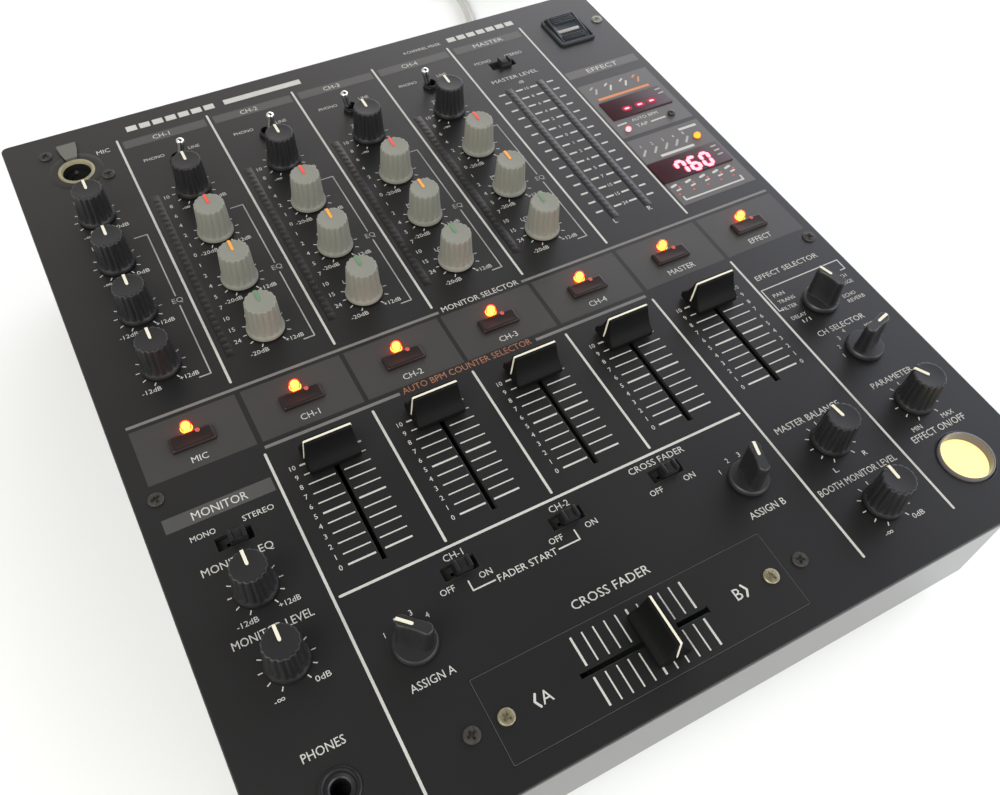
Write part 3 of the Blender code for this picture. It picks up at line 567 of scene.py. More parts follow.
def print_lower():
    """Legends in front of the button strip, apart from the faders' scales."""
    bars.bar(7.2, 130.3, 46.8, 136.3)
    white.text("MONITOR", 27.1, 133.3, 3.3, 20)
    white.text("MONO", 18.2, 124.7, 2.2, 8.8)
    white.text("STEREO", 38, 124.7, 2.2, 11.4)
    white.text("MONITOR", 22.4, 110.8, 3.0, 18.5)
    white.text("EQ", 35.8, 110.8, 3.0)
    knob_scale(27.35, 98.3, "-12dB", "+12dB", 10.7)
    white.text("MONITOR LEVEL", 27.3, 82, 3.0, 27.6)
    knob_scale(27.35, 69.8, "-∞", "0dB", 10.7)
    white.text("PHONES", 27, 39.3, 2.9, 14)
    white.text("CH-1", 90.8, 79, 2.6)
    white.text("CH-2", 133, 79, 2.6)
    white.text("CROSS FADER", 175, 79.2, 2.6, 24)
    for x in (83.3, 125.4, 167.7):
        white.text("OFF", x, 68, 2.3)
        white.text("ON", x + 14.4, 68, 2.3)
    white.path(((91.1, 68.0), (91.1, 64.2), (99.4, 64.2)), 0.55)
    white.path(((124.6, 64.3), (133, 64.3), (133, 68.3)), 0.55)
    white.text("FADER START", 112, 64.2, 2.6, 23)
    channels = (("1", -47, 10.4), ("2", -13, 10.4), ("3", 17, 10.9), ("4", 47, 10.6))
    dial_words(65.8, 56.3, 2.0, channels)
    dial_words(200.9, 57.0, 2.0, channels)
    white.text("ASSIGN A", 65.7, 43.3, 2.8, 15.6)
    white.text("ASSIGN B", 199.7, 44.0, 2.8, 15.6)
    white.text("CROSS FADER", CROSS_X, 44.1, 3.3, 30.8)
    white.text("MASTER BALANCE", 238.5, 69, 2.8, 31)
    knob_scale(MASTER, 56.5, "L", "R", 11.2)
    white.text("BOOTH MONITOR LEVEL", 238.6, 39.8, 2.7, 36.6)
    knob_scale(MASTER, 26.7, "-∞", "0dB", 10.6)
    white.text("EFFECT SELECTOR", 281.3, 136, 2.5, 33.4)
    white.path(((262.6, 117), (262.6, 129.5), (304, 129.5), (304, 124)), 0.5)
    white.path(((262.6, 117), (264.6, 117)), 0.5)
    white.path(((304, 124), (301.4, 124)), 0.5)
    for words, x, y, width in (
        ("PAN", 268.2, 124.8, 5.6),
        ("TRANS", 269.4, 121.0, 8.6),
        ("FILTER", 268.0, 117.1, 7.6),
        ("DELAY", 268.4, 111.4, 7.6),
        ("1/1", 270.0, 108.2, 4.0),
        ("ECHO", 295.6, 111.4, 6.6),
        ("REVERB", 297.0, 108.4, 8.8),
        ("FLANGE", 298.2, 117.2, 8.4),
        ("PITCH", 298.6, 120.8, 6.6),
    ):
        white.text(words, x, y, 1.8, width)
    white.text("CH SELECTOR", 281.2, 99.7, 2.6, 24.4)
    channels = (("1", -88, 10.2), ("2", -62, 10.2), ("3", -36, 10.4), ("4", -10, 10.8))
    dial_words(EFFECT, 86, 1.9, (*channels, ("MIC", 50, 13.4), ("M", 75, 11.0)))
    white.text("PARAMETER", 281.5, 69, 2.6, 21)
    knob_scale(EFFECT, 56.5, None, None)
    white.text("MIN", 273.5, 45.7, 2.0)
    white.text("MAX", 289.2, 45.7, 2.0)
    white.text("EFFECT ON/OFF", 281.2, 42, 2.8, 26.6)


METER_ROWS = [291.5 - 6.5 * i for i in range(15)]
METER_WORDS = "10 8 6 4 2 1 0 1 2 4 5 7 10 15 24".split()


def print_meters():
    """Numbers and dashes beside the level meters."""
    for divider in DIVIDERS:
        for y, words in zip(METER_ROWS, METER_WORDS):
            white.text(words, divider + 9.2, y, 2.1)
    for y, words in zip(METER_ROWS, METER_WORDS):
        for x0, x1 in ((224.1, 227.7), (233.6, 237.6), (241.8, 245.8), (251.4, 254.9)):
            white.line(x0, y, x1, y, 1.0, False)
        white.text(words, 239.7, y, 2.0)
    white.text("dB", 239.7, 297.2, 2.0)
    white.text("L", 229.3, 192.5, 2.6)
    white.text("R", 247.8, 192.8, 2.6)
    white.text("MASTER LEVEL", 239, 302.3, 2.5, 26)
    white.text("MONO", 229.5, 319.2, 2.1)
    white.text("STEREO", 247.2, 319.2, 2.1)


def print_effects():
    """Legends round the two displays."""
    blocks.bar(262.8, 287.7, 304.4, 293.5)
    white.text("EFFECT", 283.5, 290.6, 3.0, 18)
    blocks.bar(262.8, 238, 303.6, 281)
    blocks.bar(262.8, 187, 303.6, 235.4)
    for x, ink in ((269.5, dim), (278, white), (287, white), (294.5, orange)):
        ink.line(x - 0.4, 272.6, x + 1.4, 275.6, 1.0)
        ink.line(x - 1.6, 276.6, x + 0.2, 277.8, 0.9)
    orange.bar(267.5, 267.2, 297.5, 268.9)
    white.text("AUTO BPM", 281.5, 247.9, 2.0, 15)
    white.text("TAP", 277.2, 243.3, 2.2, 6.5)
    white.line(282.6, 243.2, 290.6, 243.4, 0.9)
    white.line(265.8, 247.3, 270.5, 247.5, 0.9)
    white.bar(291.0, 231.4, 301.0, 232.9)
    white.bar(272.5, 219.0, 291.5, 220.6)
    for i, x in enumerate((266.5, 272.8, 279, 285, 290.8)):
        white.text("12348"[i], x + 0.6, 229.4, 1.9)
        dim.line(x - 1.5, 223.2, x + 1.3, 226.2, 1.1)
    for x in (266, 274, 282, 289.5, 296.5):
        white.line(x - 1.3, 199.6, x + 1.2, 200.2, 1.3)
        white.line(x - 0.2, 196.6, x + 1.8, 196.9, 1.0)
        red.line(x + 1.7, 198.2, x + 2.3, 198.3, 0.7)
        red.line(x - 0.9, 194.0, x - 0.4, 194.1, 0.7)
    for y in (262.6, 259.4, 214.6, 211.6, 208.6):
        marks.line(297.6, y, 300.0, y + 0.2, 1.0)
    white.path(((266, 192.0), (266, 189.8), (298.5, 189.8), (298.5, 192.4)), 0.9)


print_upper()
print_strip()
print_faders()
print_lower()
print_meters()
print_effects()
for ink in (white, dim, bars, orange, brown, red, strip, blocks, lines, marks):
    ink.place()


# ---------------------------------------------------------------- rotary knobs

KNOB_PROFILE = (
    (0, -8.0),
    (3.0, -8.0),
    (3.0, 0.6),
    (7.3, 0.6),
    (7.65, 0.85),
    (7.7, 1.3),
    (7.6, 2.0),
    (7.25, 2.5),
    (7.15, 2.7, 0.0),
    (7.1, 3.1, 0.34),
    (6.9, 6.2, 0.38),
    (6.7, 9.5, 0.4),
    (6.5, 13.0, 0.42),
    (6.38, 15.3, 0.42),
    (6.3, 15.9, 0.42),
    (6.12, 16.2, 0.36),
    (5.85, 16.3, 0.2),
    (5.3, 16.26, 0.0),
    (2.6, 16.14),
    (0, 16.1),
)


def knob_mesh(name, body_material, line_material):
    """A fluted knob on its skirt and shaft, with a pointer line over its top."""
    bm = bmesh.new()
    lathe(bm, KNOB_PROFILE, 128)
    pointer = ((0.3, 16.34), (0.9, 16.36), (5.6, 16.42), (6.15, 16.34), (6.42, 15.9), (6.45, 15.2))
    ribbon(bm, pointer, 1.15, 0.4, 1)
    return finished(bm, name, body_material, line_material, angle=38)


knob_meshes = {
    "black": knob_mesh("knob_black", BLACK, LINE_WHITE),
    "hi": knob_mesh("knob_red_line", GREY, LINE_RED),
    "mid": knob_mesh("knob_orange_line", GREY, LINE_ORANGE),
    "low": knob_mesh("knob_green_line", GREY, LINE_GREEN),
}
knob_spots = {
    "monitor_eq_knob": (27.4, 98.3, 0),
    "monitor_level_knob": (27.4, 69.8, 0),
    "master_balance_knob": (MASTER, 56.5, -8),
    "booth_level_knob": (MASTER, 26.7, 0),
    "effect_amount_knob": (EFFECT, 56.5, -31),
}
for row, word in enumerate(("level_1", "level_2", "hi", "low")):
    knob_spots[f"mic_{word}_knob"] = (MIC, 292 - 30 * row, 0)
for channel in (1, 2, 3, 4):
    for word, y in ROWS.items():
        knob_spots[f"ch_{channel}_{word}_knob"] = (COLUMNS[channel], y, 0)
for name, (x, y, angle) in knob_spots.items():
    kind = name.split("_")[2] if name.startswith("ch_") else "black"
    mesh = knob_meshes.get(kind, knob_meshes["black"])
    slot = "grey_plastic" if kind in ("hi", "mid", "low") else "black_plastic"
    moving(name, "cap", mesh, spot(x, y), (0, 0, -math.radians(angle)), slot)


def grip_ring(half_length, half_width, pinch, z, steps=10):
    """A long rounded bar's outline, its sides drawn in a little in the middle."""
    points = []
    straight = half_length - half_width
    for end in (1, -1):
        for i in range(steps + 1):
            angle = math.pi * i / steps
            across, along = half_width * math.cos(angle), straight + half_width * math.sin(angle)
            points.append((end * across, end * along, z))
        for i in (1, 2, 3, 4, 5):
            t = 1 - i / 3
            points.append((-end * (half_width - pinch * (1 - t * t)), end * straight * t, z))
    return points


def selector_mesh():
    """A bar grip on a round skirt, with a pointer line over its top."""
    bm = bmesh.new()
    skirt = ((3, -8), (3, 0.6), (7.35, 0.6), (7.7, 0.9), (7.72, 1.5), (7.5, 2.3), (7.0, 2.75))
    lathe(bm, ((0, -8), *skirt, (0, 2.95)), 48)
    sizes = (
        (6.6, 3.1, 0.3, 2.6),
        (6.55, 2.75, 0.45, 3.6),
        (6.5, 2.5, 0.5, 8.0),
        (6.4, 2.35, 0.4, 13.5),
        (6.35, 2.3, 0.35, 15.5),
        (6.2, 2.12, 0.3, 16.05),
        (5.9, 1.8, 0.25, 16.3),
    )
    skin(bm, [grip_ring(*size) for size in sizes])
    pointer = ((0.2, 16.38), (0.7, 16.42), (5.6, 16.42), (6.1, 16.3), (6.38, 15.7), (6.45, 14.6))
    ribbon(bm, pointer, 1.15, 0.4, 1)
    return finished(bm, "selector_knob", BLACK, LINE_WHITE, angle=38)


selector = selector_mesh()
for name, x, y, angle in (
    ("assign_a_selector", 65.8, 56.3, -45),
    ("assign_b_selector", 200.9, 57, 15),
    ("effect_selector", EFFECT, 114, -17),
    ("effect_channel_selector", EFFECT, 86, 75),
):
    moving(name, "knob", selector, spot(x, y), (0, 0, -math.radians(angle)))


# ---------------------------------------------------------------- faders


def fader_mesh():
    """A wedge shaped cap on its stem, with a white line from side to side over its ridge."""
    bm = bmesh.new()
    sizes = (
        (0.7, 2.5, -10.3, 0.1),
        (0.7, 2.5, 1.0, 0.1),
        (9.8, 6.2, 1.0, 0.8),
        (10.0, 6.4, 1.2, 0.9),
        (10.0, 6.4, 3.0, 0.9),
        (9.86, 6.15, 3.4, 0.8),
        (9.74, 5.1, 4.3, 0.7),
        (9.6, 4.0, 5.6, 0.6),
        (9.45, 3.1, 7.2, 0.5),
        (9.3, 2.35, 9.0, 0.5),
        (9.16, 1.8, 10.8, 0.5),
        (9.06, 1.42, 12.2, 0.45),
        (9.0, 1.28, 13.0, 0.4),
        (8.85, 0.95, 13.38, 0.3),
    )
    skin(bm, [block_ring(a, b, z, corner) for a, b, z, corner in sizes])
    line = [(-9.98, 3.6), (-9.72, 5.6), (-9.42, 9.0), (-9.18, 12.2), (-9.1, 13.1), (-8.8, 13.5)]
    line += [(8.8, 13.5), (9.1, 13.1), (9.18, 12.2), (9.42, 9.0), (9.72, 5.6), (9.98, 3.6)]
    made = ribbon(bm, line, 0.8, 0.35, 1)
    quarter = Matrix.Rotation(-math.pi / 2, 3, "Z")
    bmesh.ops.rotate(bm, matrix=quarter, verts=[v for one in made for v in one])
    return finished(bm, "fader_cap", CAP, LINE_WHITE, angle=30)


fader = fader_mesh()
for channel in (1, 2, 3, 4):
    moving(f"ch_{channel}_fader_cap", "moulded", fader, spot(COLUMNS[channel], FADER_REST))
moving("master_fader_cap", "moulded", fader, spot(MASTER, FADER_REST), slot=None)
moving("cross_fader_cap", "moulded", fader, spot(137.5, CROSS_Y), (0, 0, math.pi / 2), None)


def slot_lips():
    """Dust lips that narrow the long slots just below the panel's face."""
    bm = bmesh.new()
    upright = [((x, FADER_MIDDLE), (1.32, 25.9), (0.85, 25.3)) for x in COLUMNS[1:6]]
    for centre, wide, narrow in (*upright, ((CROSS_X, CROSS_Y), (25.9, 1.32), (25.3, 0.85))):
        outer = block_ring(*wide, -0.5, 0.2, centre)
        inner = block_ring(*narrow, -0.6, 0.2, centre)
        skin(bm, [outer, inner], cap_start=False, cap_end=False)
    return finished(bm, "slot_lips", PAINT, smooth=False)


add("slot_lips", slot_lips(), spot(0, 0), slot="black_plastic")


# ---------------------------------------------------------------- buttons, toggles and slide switches


def cue_mesh():
    """A cue key, dished on top, on the stem that it is pushed down with."""
    bm = bmesh.new()
    sizes = (
        (2, 2, -6.6, 0.2),
        (2, 2, -3.2, 0.2),
        (8.2, 3.4, -3.2, 0.6),
        (8.2, 3.4, 0.7, 0.6),
        (8.05, 3.25, 1.25, 0.7),
        (7.7, 2.9, 1.55, 0.7),
        (7.0, 2.3, 1.5, 0.7),
        (5.0, 1.2, 1.35, 0.5),
    )
    skin(bm, [block_ring(*size) for size in sizes])
    return finished(bm, "cue_button", CUE, angle=40)


def lamp_mesh():
    """A lamp's dome on its little collar."""
    bm = bmesh.new()
    radius, height = 2.0, 3.6
    straight = height - radius
    profile = [(0, -1.5), (radius + 0.3, -1.5), (radius + 0.3, 0.15), (radius, 0.25), (radius, straight)]
    for i in range(1, 6):
        angle = math.pi / 2 * i / 6
        profile.append((radius * math.cos(angle), straight + radius * math.sin(angle)))
    lathe(bm, profile + [(0, height)], 20)
    return finished(bm, "lamp", LAMP, angle=50)


def glint_mesh():
    """A small glowing red dome on the rear edge of a cue key: a painted reflection, and no lamp."""
    bm = bmesh.new()
    lathe(bm, ((0, 0.3), (1.0, 0.3), (1.0, 0.4), (0.7, 0.75), (0, 0.9)), 14)
    return finished(bm, "cue_glint", GLINT, angle=50)


cue, lamp, glint = cue_mesh(), lamp_mesh(), glint_mesh()
for x, name in zip(COLUMNS, ("mic", "ch_1", "ch_2", "ch_3", "ch_4", "master", "effect")):
    node = name + "_cue_button"
    moving(node, "key", cue, spot(x, CUE_Y))
    add(name + "_cue_lamp", lamp, spot(x - 0.4, 169.8), slot="lit_yellow")
    # Each key carries its painted red glint, a painted reflection that glows.
    add(name + "_cue_glint", glint, spot(x + 2.9, 166.4, 1.0), slot="lit_yellow", body=node + "_body")


def toggle_mesh():
    """A toggle's lever, thicker towards its round end."""
    bm = bmesh.new()
    lever = ((1.3, -3), (1.3, 5.2), (1.45, 8), (1.85, 12.2), (1.95, 13.3), (1.75, 14.3), (1.0, 14.9))
    lathe(bm, ((0, -3), *lever, (0, 15)), 24)
    return finished(bm, "toggle_lever", CHROME, angle=50)


def toggle_bush():
    """The threaded bush and hexagon nut that a toggle stands in."""
    bm = bmesh.new()
    outer, inner = 3.9, 2.75
    rings = [ring(outer, -0.05, 6), ring(outer, 1.3, 6), ring(outer - 0.4, 1.6, 6)]
    skin(bm, rings, cap_start=False, cap_end=False)
    neck = ((inner + 0.6, 1.62), (inner + 0.5, 2.3), (inner, 2.3), (inner, -1.2))
    lathe_ring(bm, ((outer - 0.5, 1.58), *neck), 24)
    return finished(bm, "toggle_bush", KEY, angle=30)


toggle, bush = toggle_mesh(), toggle_bush()
for channel, lean in ((1, 1), (2, 1), (3, -1), (4, -1)):
    name = f"ch_{channel}_input_toggle"
    tilt = (0, lean * math.radians(12), 0)
    moving(name, "lever", toggle, spot(COLUMNS[channel], TOGGLE_Y, -3.5), tilt, "nickel")
    add(name + "_bush", bush, spot(COLUMNS[channel], TOGGLE_Y), slot="black_plastic")


def slide_cap_mesh():
    """A smooth thumb piece, dished on top and higher at its ends."""
    bm = bmesh.new()
    sizes = ((1.5, 1.5, -7.6), (1.5, 1.5, -3.2), (3.2, 2.4, -3.2), (3.2, 2.4, 1.4))
    skin(bm, [block_ring(*size, 0.4) for size in sizes] + [block_ring(2.9, 2.1, 1.8, 0.3)])
    block(bm, 2.9, 2.3, 1.3, 2.2, 0.4, 0.3)
    for x in (-2.4, 2.4):
        block(bm, 0.7, 2.35, 1.3, 3.0, 0.35, 0.35, (x, 0))
    return finished(bm, "slide_cap", KEY, angle=40)


def slide_well_mesh():
    """The dark lining of a slide switch's opening, with its floor below."""
    bm = bmesh.new()
    rim = ((6.75, 2.95, 0.02, 0.4), (6.6, 2.8, 0.06, 0.4), (6.5, 2.7, -0.2, 0.4))
    sizes = (*rim, (6.45, 2.65, -2.6, 0.3), (3.2, 0.6, -2.9, 0.3))
    skin(bm, [block_ring(*size) for size in sizes], cap_start=False, cap_end=False)
    return finished(bm, "slide_well", LINING, angle=30)


slide_cap, slide_well = slide_cap_mesh(), slide_well_mesh()
for name, x, y in (
    ("monitor_mode_switch", 27.4, 118.8),
    ("fader_start_1_switch", 90.7, SWITCH_Y),
    ("fader_start_2_switch", 133.1, SWITCH_Y),
    ("cross_fader_switch", 175.6, SWITCH_Y),
    ("master_mode_switch", 238.2, 314),
):
    moving(name, "cap", slide_cap, spot(x + 1.2, y))
    add(name + "_well", slide_well, spot(x, y), slot="black_plastic")


def power_mesh():
    """A rocker key, high at its rear end, with ribs and a light label bar down in its middle."""
    bm = bmesh.new()
    sizes = ((2, 2, -4.6, 0.2), (2, 2, -3.2, 0.2), (8.5, 10, -3.2, 0.8), (8.5, 10, 0.6, 0.8))
    rings = [block_ring(*size) for size in sizes]
    for half_x, half_y, lift in ((8.3, 9.8, 0.0), (7.8, 9.3, 0.25), (6.9, 8.6, -0.25), (5.5, 4.5, -0.6)):
        rings.append([(x, y, 1.9 + 0.13 * y + lift) for x, y, z in block_ring(half_x, half_y, 0, 0.7)])
    skin(bm, rings)
    for y in (-7.6, -6.4, -5.2, 4.6, 5.8, 7.0, 8.2):
        block(bm, 6.6, 0.33, 0.4, 2.15 + 0.13 * y, 0.2, 0.15, (0, y))
    block(bm, 6.3, 0.85, 0.6, 1.75, 0.3, 0.1, (-0.6, -1.4), 1)
    return finished(bm, "power_key", POWER, INK_DIM, angle=35)


def power_bezel_mesh():
    """The raised frame round the power key."""
    bm = bmesh.new()
    outside = ((10.6, 12.0, 0.0, 2.6), (10.6, 12.0, 1.0, 2.6), (10.1, 11.5, 1.5, 2.2))
    inside = ((9.2, 10.7, 1.5, 1.2), (8.95, 10.45, 0.9, 0.9), (8.9, 10.4, -1.5, 0.9))
    rings = [block_ring(*size, steps=5) for size in outside + inside]
    skin(bm, rings, cap_start=False, cap_end=False)
    return finished(bm, "power_bezel", POWER, angle=35)


power_at = spot(283.8, 325.2)
moved = {"body": "power_button_body", "node": "power_button"}
add("power_key", power_mesh(), power_at, slot="black_plastic", **moved)
add("power_bezel", power_bezel_mesh(), power_at, slot="black_plastic")


def effect_button_mesh():
    """A deep collar with a lit lens set down inside it."""
    bm = bmesh.new()
    stem = ((0, -5.6), (3, -5.6), (3, -3.2), (10.4, -3.2), (10.8, -2.9))
    rim = ((10.8, 0.7), (10.6, 1.1), (10.2, 1.2), (9.9, 1.0), (9.75, -2.7))
    skin(bm, [ring(r, z, 64) for r, z in stem + rim], 0, cap_end=False)
    lens = ((9.75, -2.7), (9.4, -2.55), (8.0, -2.25), (5.0, -2.05), (2.0, -1.95), (0, -1.92))
    skin(bm, [ring(r, z, 64) for r, z in lens], 1, cap_start=False)
    bmesh.ops.remove_doubles(bm, verts=bm.verts, dist=0.001)
    return finished(bm, "effect_button", LENS_RIM, LENS, angle=35)


def effect_collar_mesh():
    """The thin edge of the round opening that the effect button stands in."""
    bm = bmesh.new()
    profile = ((11.75, -0.02), (11.7, 0.14), (11.5, 0.2), (11.3, 0.12), (11.25, -1.8))
    lathe_ring(bm, profile, 64)
    return finished(bm, "effect_collar", PAINT, angle=35)


lens_at = spot(281.2, 27.2)
moved = {"body": "effect_on_button_body", "node": "effect_on_button"}
add("effect_button_lens", effect_button_mesh(), lens_at, slot="lit_yellow", **moved)
add("effect_button_collar", effect_collar_mesh(), lens_at, slot="black_plastic")


# ---------------------------------------------------------------- lamps, meters and displays


def meter_mesh():
    """Long dark windows beside each column of numbers, with a row of segments showing in each."""
    bm = bmesh.new()
    top, bottom = METER_ROWS[0] + 3, METER_ROWS[-1] - 6
    middle, half = (top + bottom) / 2, (top - bottom) / 2
    for x in [divider + 4.4 for divider in DIVIDERS] + [230.8, 248.4]:
        block(bm, 1.95, half, -0.05, 0.1, 0.4, 0.05, (x, middle), 1)
        for y in METER_ROWS:
            block(bm, 1.25, 1.1, 0.0, 0.14, 0.3, 0.04, (x, y - 0.2))
            block(bm, 1.25, 1.1, 0.0, 0.14, 0.3, 0.04, (x, y - 3.4))
    return finished(bm, "meter_windows", LAMP_OFF, METER, angle=30)


SEGMENTS = {"7": "abcf", "6": "acdefg", "0": "abcdef"}
SEGMENT_ENDS = {
    "a": ((0, 2), (1, 2)),
    "b": ((1, 2), (1, 1)),
    "c": ((1, 1), (1, 0)),
    "d": ((0, 0), (1, 0)),
    "e": ((0, 1), (0, 0)),
    "f": ((0, 2), (0, 1)),
    "g": ((0, 1), (1, 1)),
}


def digits(ink, words, x, y, thick):
    """Lit seven-segment numbers that lean a little."""
    width, height, pitch, slant = 4.0, 8.2, 7.0, 0.12
    for i, word in enumerate(words):
        for segment in SEGMENTS[word]:
            ends = []
            for u, v in SEGMENT_ENDS[segment]:
                up = (v - 1) * height / 2
                middle = x + pitch * (i - (len(words) - 1) / 2)
                ends.append((middle + (u - 0.5) * width + slant * up, y + up))
            (ax, ay), (bx, by) = ends
            gap = Vector((bx - ax, by - ay)).normalized() * thick * 0.55
            ink.line(ax + gap.x, ay + gap.y, bx - gap.x, by - gap.y, thick)


def window_mesh(name, half_x, half_y):
    """A display's dark red window, with its top edge softened."""
    bm = bmesh.new()
    rings = [block_ring(half_x, half_y, z, 0.8) for z in (-0.02, 0.35)]
    skin(bm, rings + [block_ring(half_x - 0.25, half_y - 0.25, 0.5, 0.7)])
    return finished(bm, name, WINDOW, angle=30)


add("meter_windows", meter_mesh(), spot(0, 0), slot="black_plastic")
add("tempo_window", window_mesh("tempo_window", 17.5, 7.2), spot(283.2, 258.2), slot="black_plastic")
add("effect_window", window_mesh("effect_window", 19.8, 7.4), spot(282.3, 210), slot="black_plastic")
halo = Print("lit_digits_halo", DIGIT_HALO, 0.54)
core = Print("lit_digits_core", DIGIT_CORE, 0.6)
digits(halo, "760", 283.4, 208.4, 3.9)
digits(core, "760", 283.4, 208.4, 2.0)
for x in (276.5, 284, 291):
    halo.line(x - 0.9, 256.2, x + 1.1, 256.2, 3.6)
    core.line(x - 0.7, 256.2, x + 0.9, 256.2, 1.2)
halo.place()
core.place()


def small_lamp(name, x, y, material, radius=1.6):
    """A low domed lamp beside a display."""
    bm = bmesh.new()
    straight = 0.5
    profile = [(0, -1), (radius, -1), (radius, straight)]
    for i in range(1, 5):
        angle = math.pi * i / 10
        profile.append((radius * math.cos(angle), straight + radius * 0.8 * math.sin(angle)))
    lathe(bm, profile + [(0, straight + radius * 0.8)], 16)
    add(name, finished(bm, name, material, angle=50), spot(x, y), slot="lit_yellow")


small_lamp("tempo_lamp", 268.8, 242.8, LAMP_RED)
small_lamp("tap_lamp", 294.5, 243.7, LAMP_OFF, 1.9)
small_lamp("effect_mode_lamp", 296.6, 224.6, LAMP_YELLOW, 1.8)


# ---------------------------------------------------------------- screws and sockets


def screw_mesh(name, material, radius=2.9, height=0.9):
    """A pan head with a cross recess."""
    bm = bmesh.new()
    steps = 24
    profile = ((1, 0), (1, height * 0.5), (0.9, height * 0.85), (0.74, height))
    rings = [ring(radius * share, z, steps) for share, z in profile]
    cross, arm, half = [], radius * 0.62, radius * 0.17
    for i in range(steps):
        angle = 2 * math.pi * i / steps
        c, s = math.cos(angle), math.sin(angle)
        reach = min(half / max(min(abs(c), abs(s)), 1e-6), arm)
        reach = max(reach, half * 1.41 if abs(abs(c) - abs(s)) < 0.3 else 0)
        cross.append((reach * c, reach * s, height))
    rings.append(cross)
    rings.append([(0.7 * x, 0.7 * y, height - 0.8) for x, y, _ in cross])
    skin(bm, rings)
    return finished(bm, name, material, angle=30)


brass, dark = screw_mesh("screw_brass", BRASS), screw_mesh("screw_dark", DARK_SCREW)
pale = screw_mesh("screw_pale", PALE_SCREW)
for i, (x, y, mesh, turned) in enumerate(
    (
        (8.2, 145.4, dark, 0.3),
        (301.8, 146, dark, 0.9),
        (68.5, 22, dark, 0.2),
        (80.6, 22, brass, 0.7),
        (184.3, 22, brass, 0.35),
        (197.2, 22.4, dark, 1.0),
        (303.0, 327, pale, 0.5),
        (17, 340, dark, 0.8),
        (39, 317, dark, 0.1),
    )
):
    add(f"panel_screw_{i + 1}", mesh, spot(x, y, 0), (0, 0, turned), slot="nickel")


def socket_mesh():
    """The microphone socket's shell ring, and its dark face with contact holes."""
    bm = bmesh.new()
    lathe_ring(bm, ((11.9, 0.01), (11.7, 0.06), (9.0, 0.05), (8.0, 0.0)), 48, 4)
    lathe_ring(bm, ((8.0, -0.05), (7.8, 0.4), (7.3, 0.6), (6.6, 0.3), (6.1, -0.9)), 48, 1)
    lathe_ring(bm, ((6.1, -0.9), (6.05, -7.4)), 48, 2)
    face = ((6.05, -7.6), (6.05, -4.4), (5.7, -4.0), (3.4, -4.0), (3.2, -4.9))
    lathe(bm, ((0, -7.6), *face, (0, -4.9)), 32, 2)
    for place in pin_places(4.5):
        lathe(bm, ((0, -4.2), (1.1, -4.2), (1.1, -3.9), (0.6, -3.8), (0.5, -4.1), (0, -4.1)), 12, 3, place)
    return finished(bm, "mic_socket", KEY, GOLD, WELL, STEEL, PAINT, angle=35)


def tab_mesh():
    """The tapered release tab behind the microphone socket."""
    bm = bmesh.new()
    outlines = []
    for z, grow in ((0.0, 0), (0.9, 0), (1.2, -0.4)):
        points = [(3.9, 19), (3.4, 13), (2.3, 8.3), (-2.3, 8.3), (-3.4, 13), (-3.9, 19)]
        points = [(x + math.copysign(grow, x), y + (grow if y > 15 else 0)) for x, y in points]
        outlines.append([(x, y, z) for x, y in reversed(points)])
    skin(bm, outlines)
    return finished(bm, "mic_release", TAB, angle=30)


def phones_mesh():
    """The headphone socket's round nut, its bore and the dark bottom of it."""
    bm = bmesh.new()
    nut = ((6.6, -0.95), (6.5, 0.5), (6.1, 0.9), (5.4, 0.95), (5.0, 0.6), (4.6, -0.3), (3.7, -0.5))
    lathe_ring(bm, nut, 40, 2)
    lathe_ring(bm, ((3.7, -0.5), (3.2, -0.9), (3.15, -9)), 40, 0)
    lathe(bm, ((0, -9.6), (3.2, -9.6), (3.2, -8.6), (0, -8.6)), 24, 1)
    return finished(bm, "phones_socket", BLACK, WELL, KEY, angle=35)


add("mic_socket", socket_mesh(), spot(27, 325), slot="nickel")
add("mic_release", tab_mesh(), spot(27, 325), slot="black_plastic")
add("phones_socket", phones_mesh(), spot(27, 26.4), slot="nickel")


# ---------------------------------------------------------------- rear and sides

REAR = PANEL_DEPTH - 1.5


def rear_spot(x, z, proud=0.0):
    """A place on the rear wall: x as on the panel, z above the floor, in world metres."""
    return spot(x, REAR + proud, z - PANEL_TOP)


def phono_meshes():
    """Phono sockets with a white and a red insert, standing up along Z."""
    meshes = []
    for insert in (WHITE_INSERT, RED_INSERT):
        bm = bmesh.new()
        shell = ((6.2, 0), (6.0, 0.7), (4.35, 0.8), (4.3, 1.0), (4.3, 8.0), (4.15, 8.25), (3.7, 8.25))
        lathe_ring(bm, shell, 32, 0)
        lathe_ring(bm, ((3.7, 8.25), (3.6, 8.1), (1.7, 8.1), (1.6, 8.02)), 32, 1)
        # A flat dark disc at the insert's centre stands in for the pin hole: painted shade.
        lathe(bm, ((0, 8.0), (1.7, 8.0), (1.5, 8.06), (0, 8.05)), 16, 2)
        meshes.append(finished(bm, "phono_shell", STEEL, insert, WELL, angle=35))
    return meshes


turn_back = (-math.pi / 2, 0, 0)
white_phono, red_phono = phono_meshes()
for column in range(11):
    x = 34 + 13.5 * column
    for row, (z, mesh) in enumerate(((54, white_phono), (34, red_phono))):
        add(f"phono_{column + 1}_{row + 1}", mesh, rear_spot(x, z), turn_back, slot="nickel")


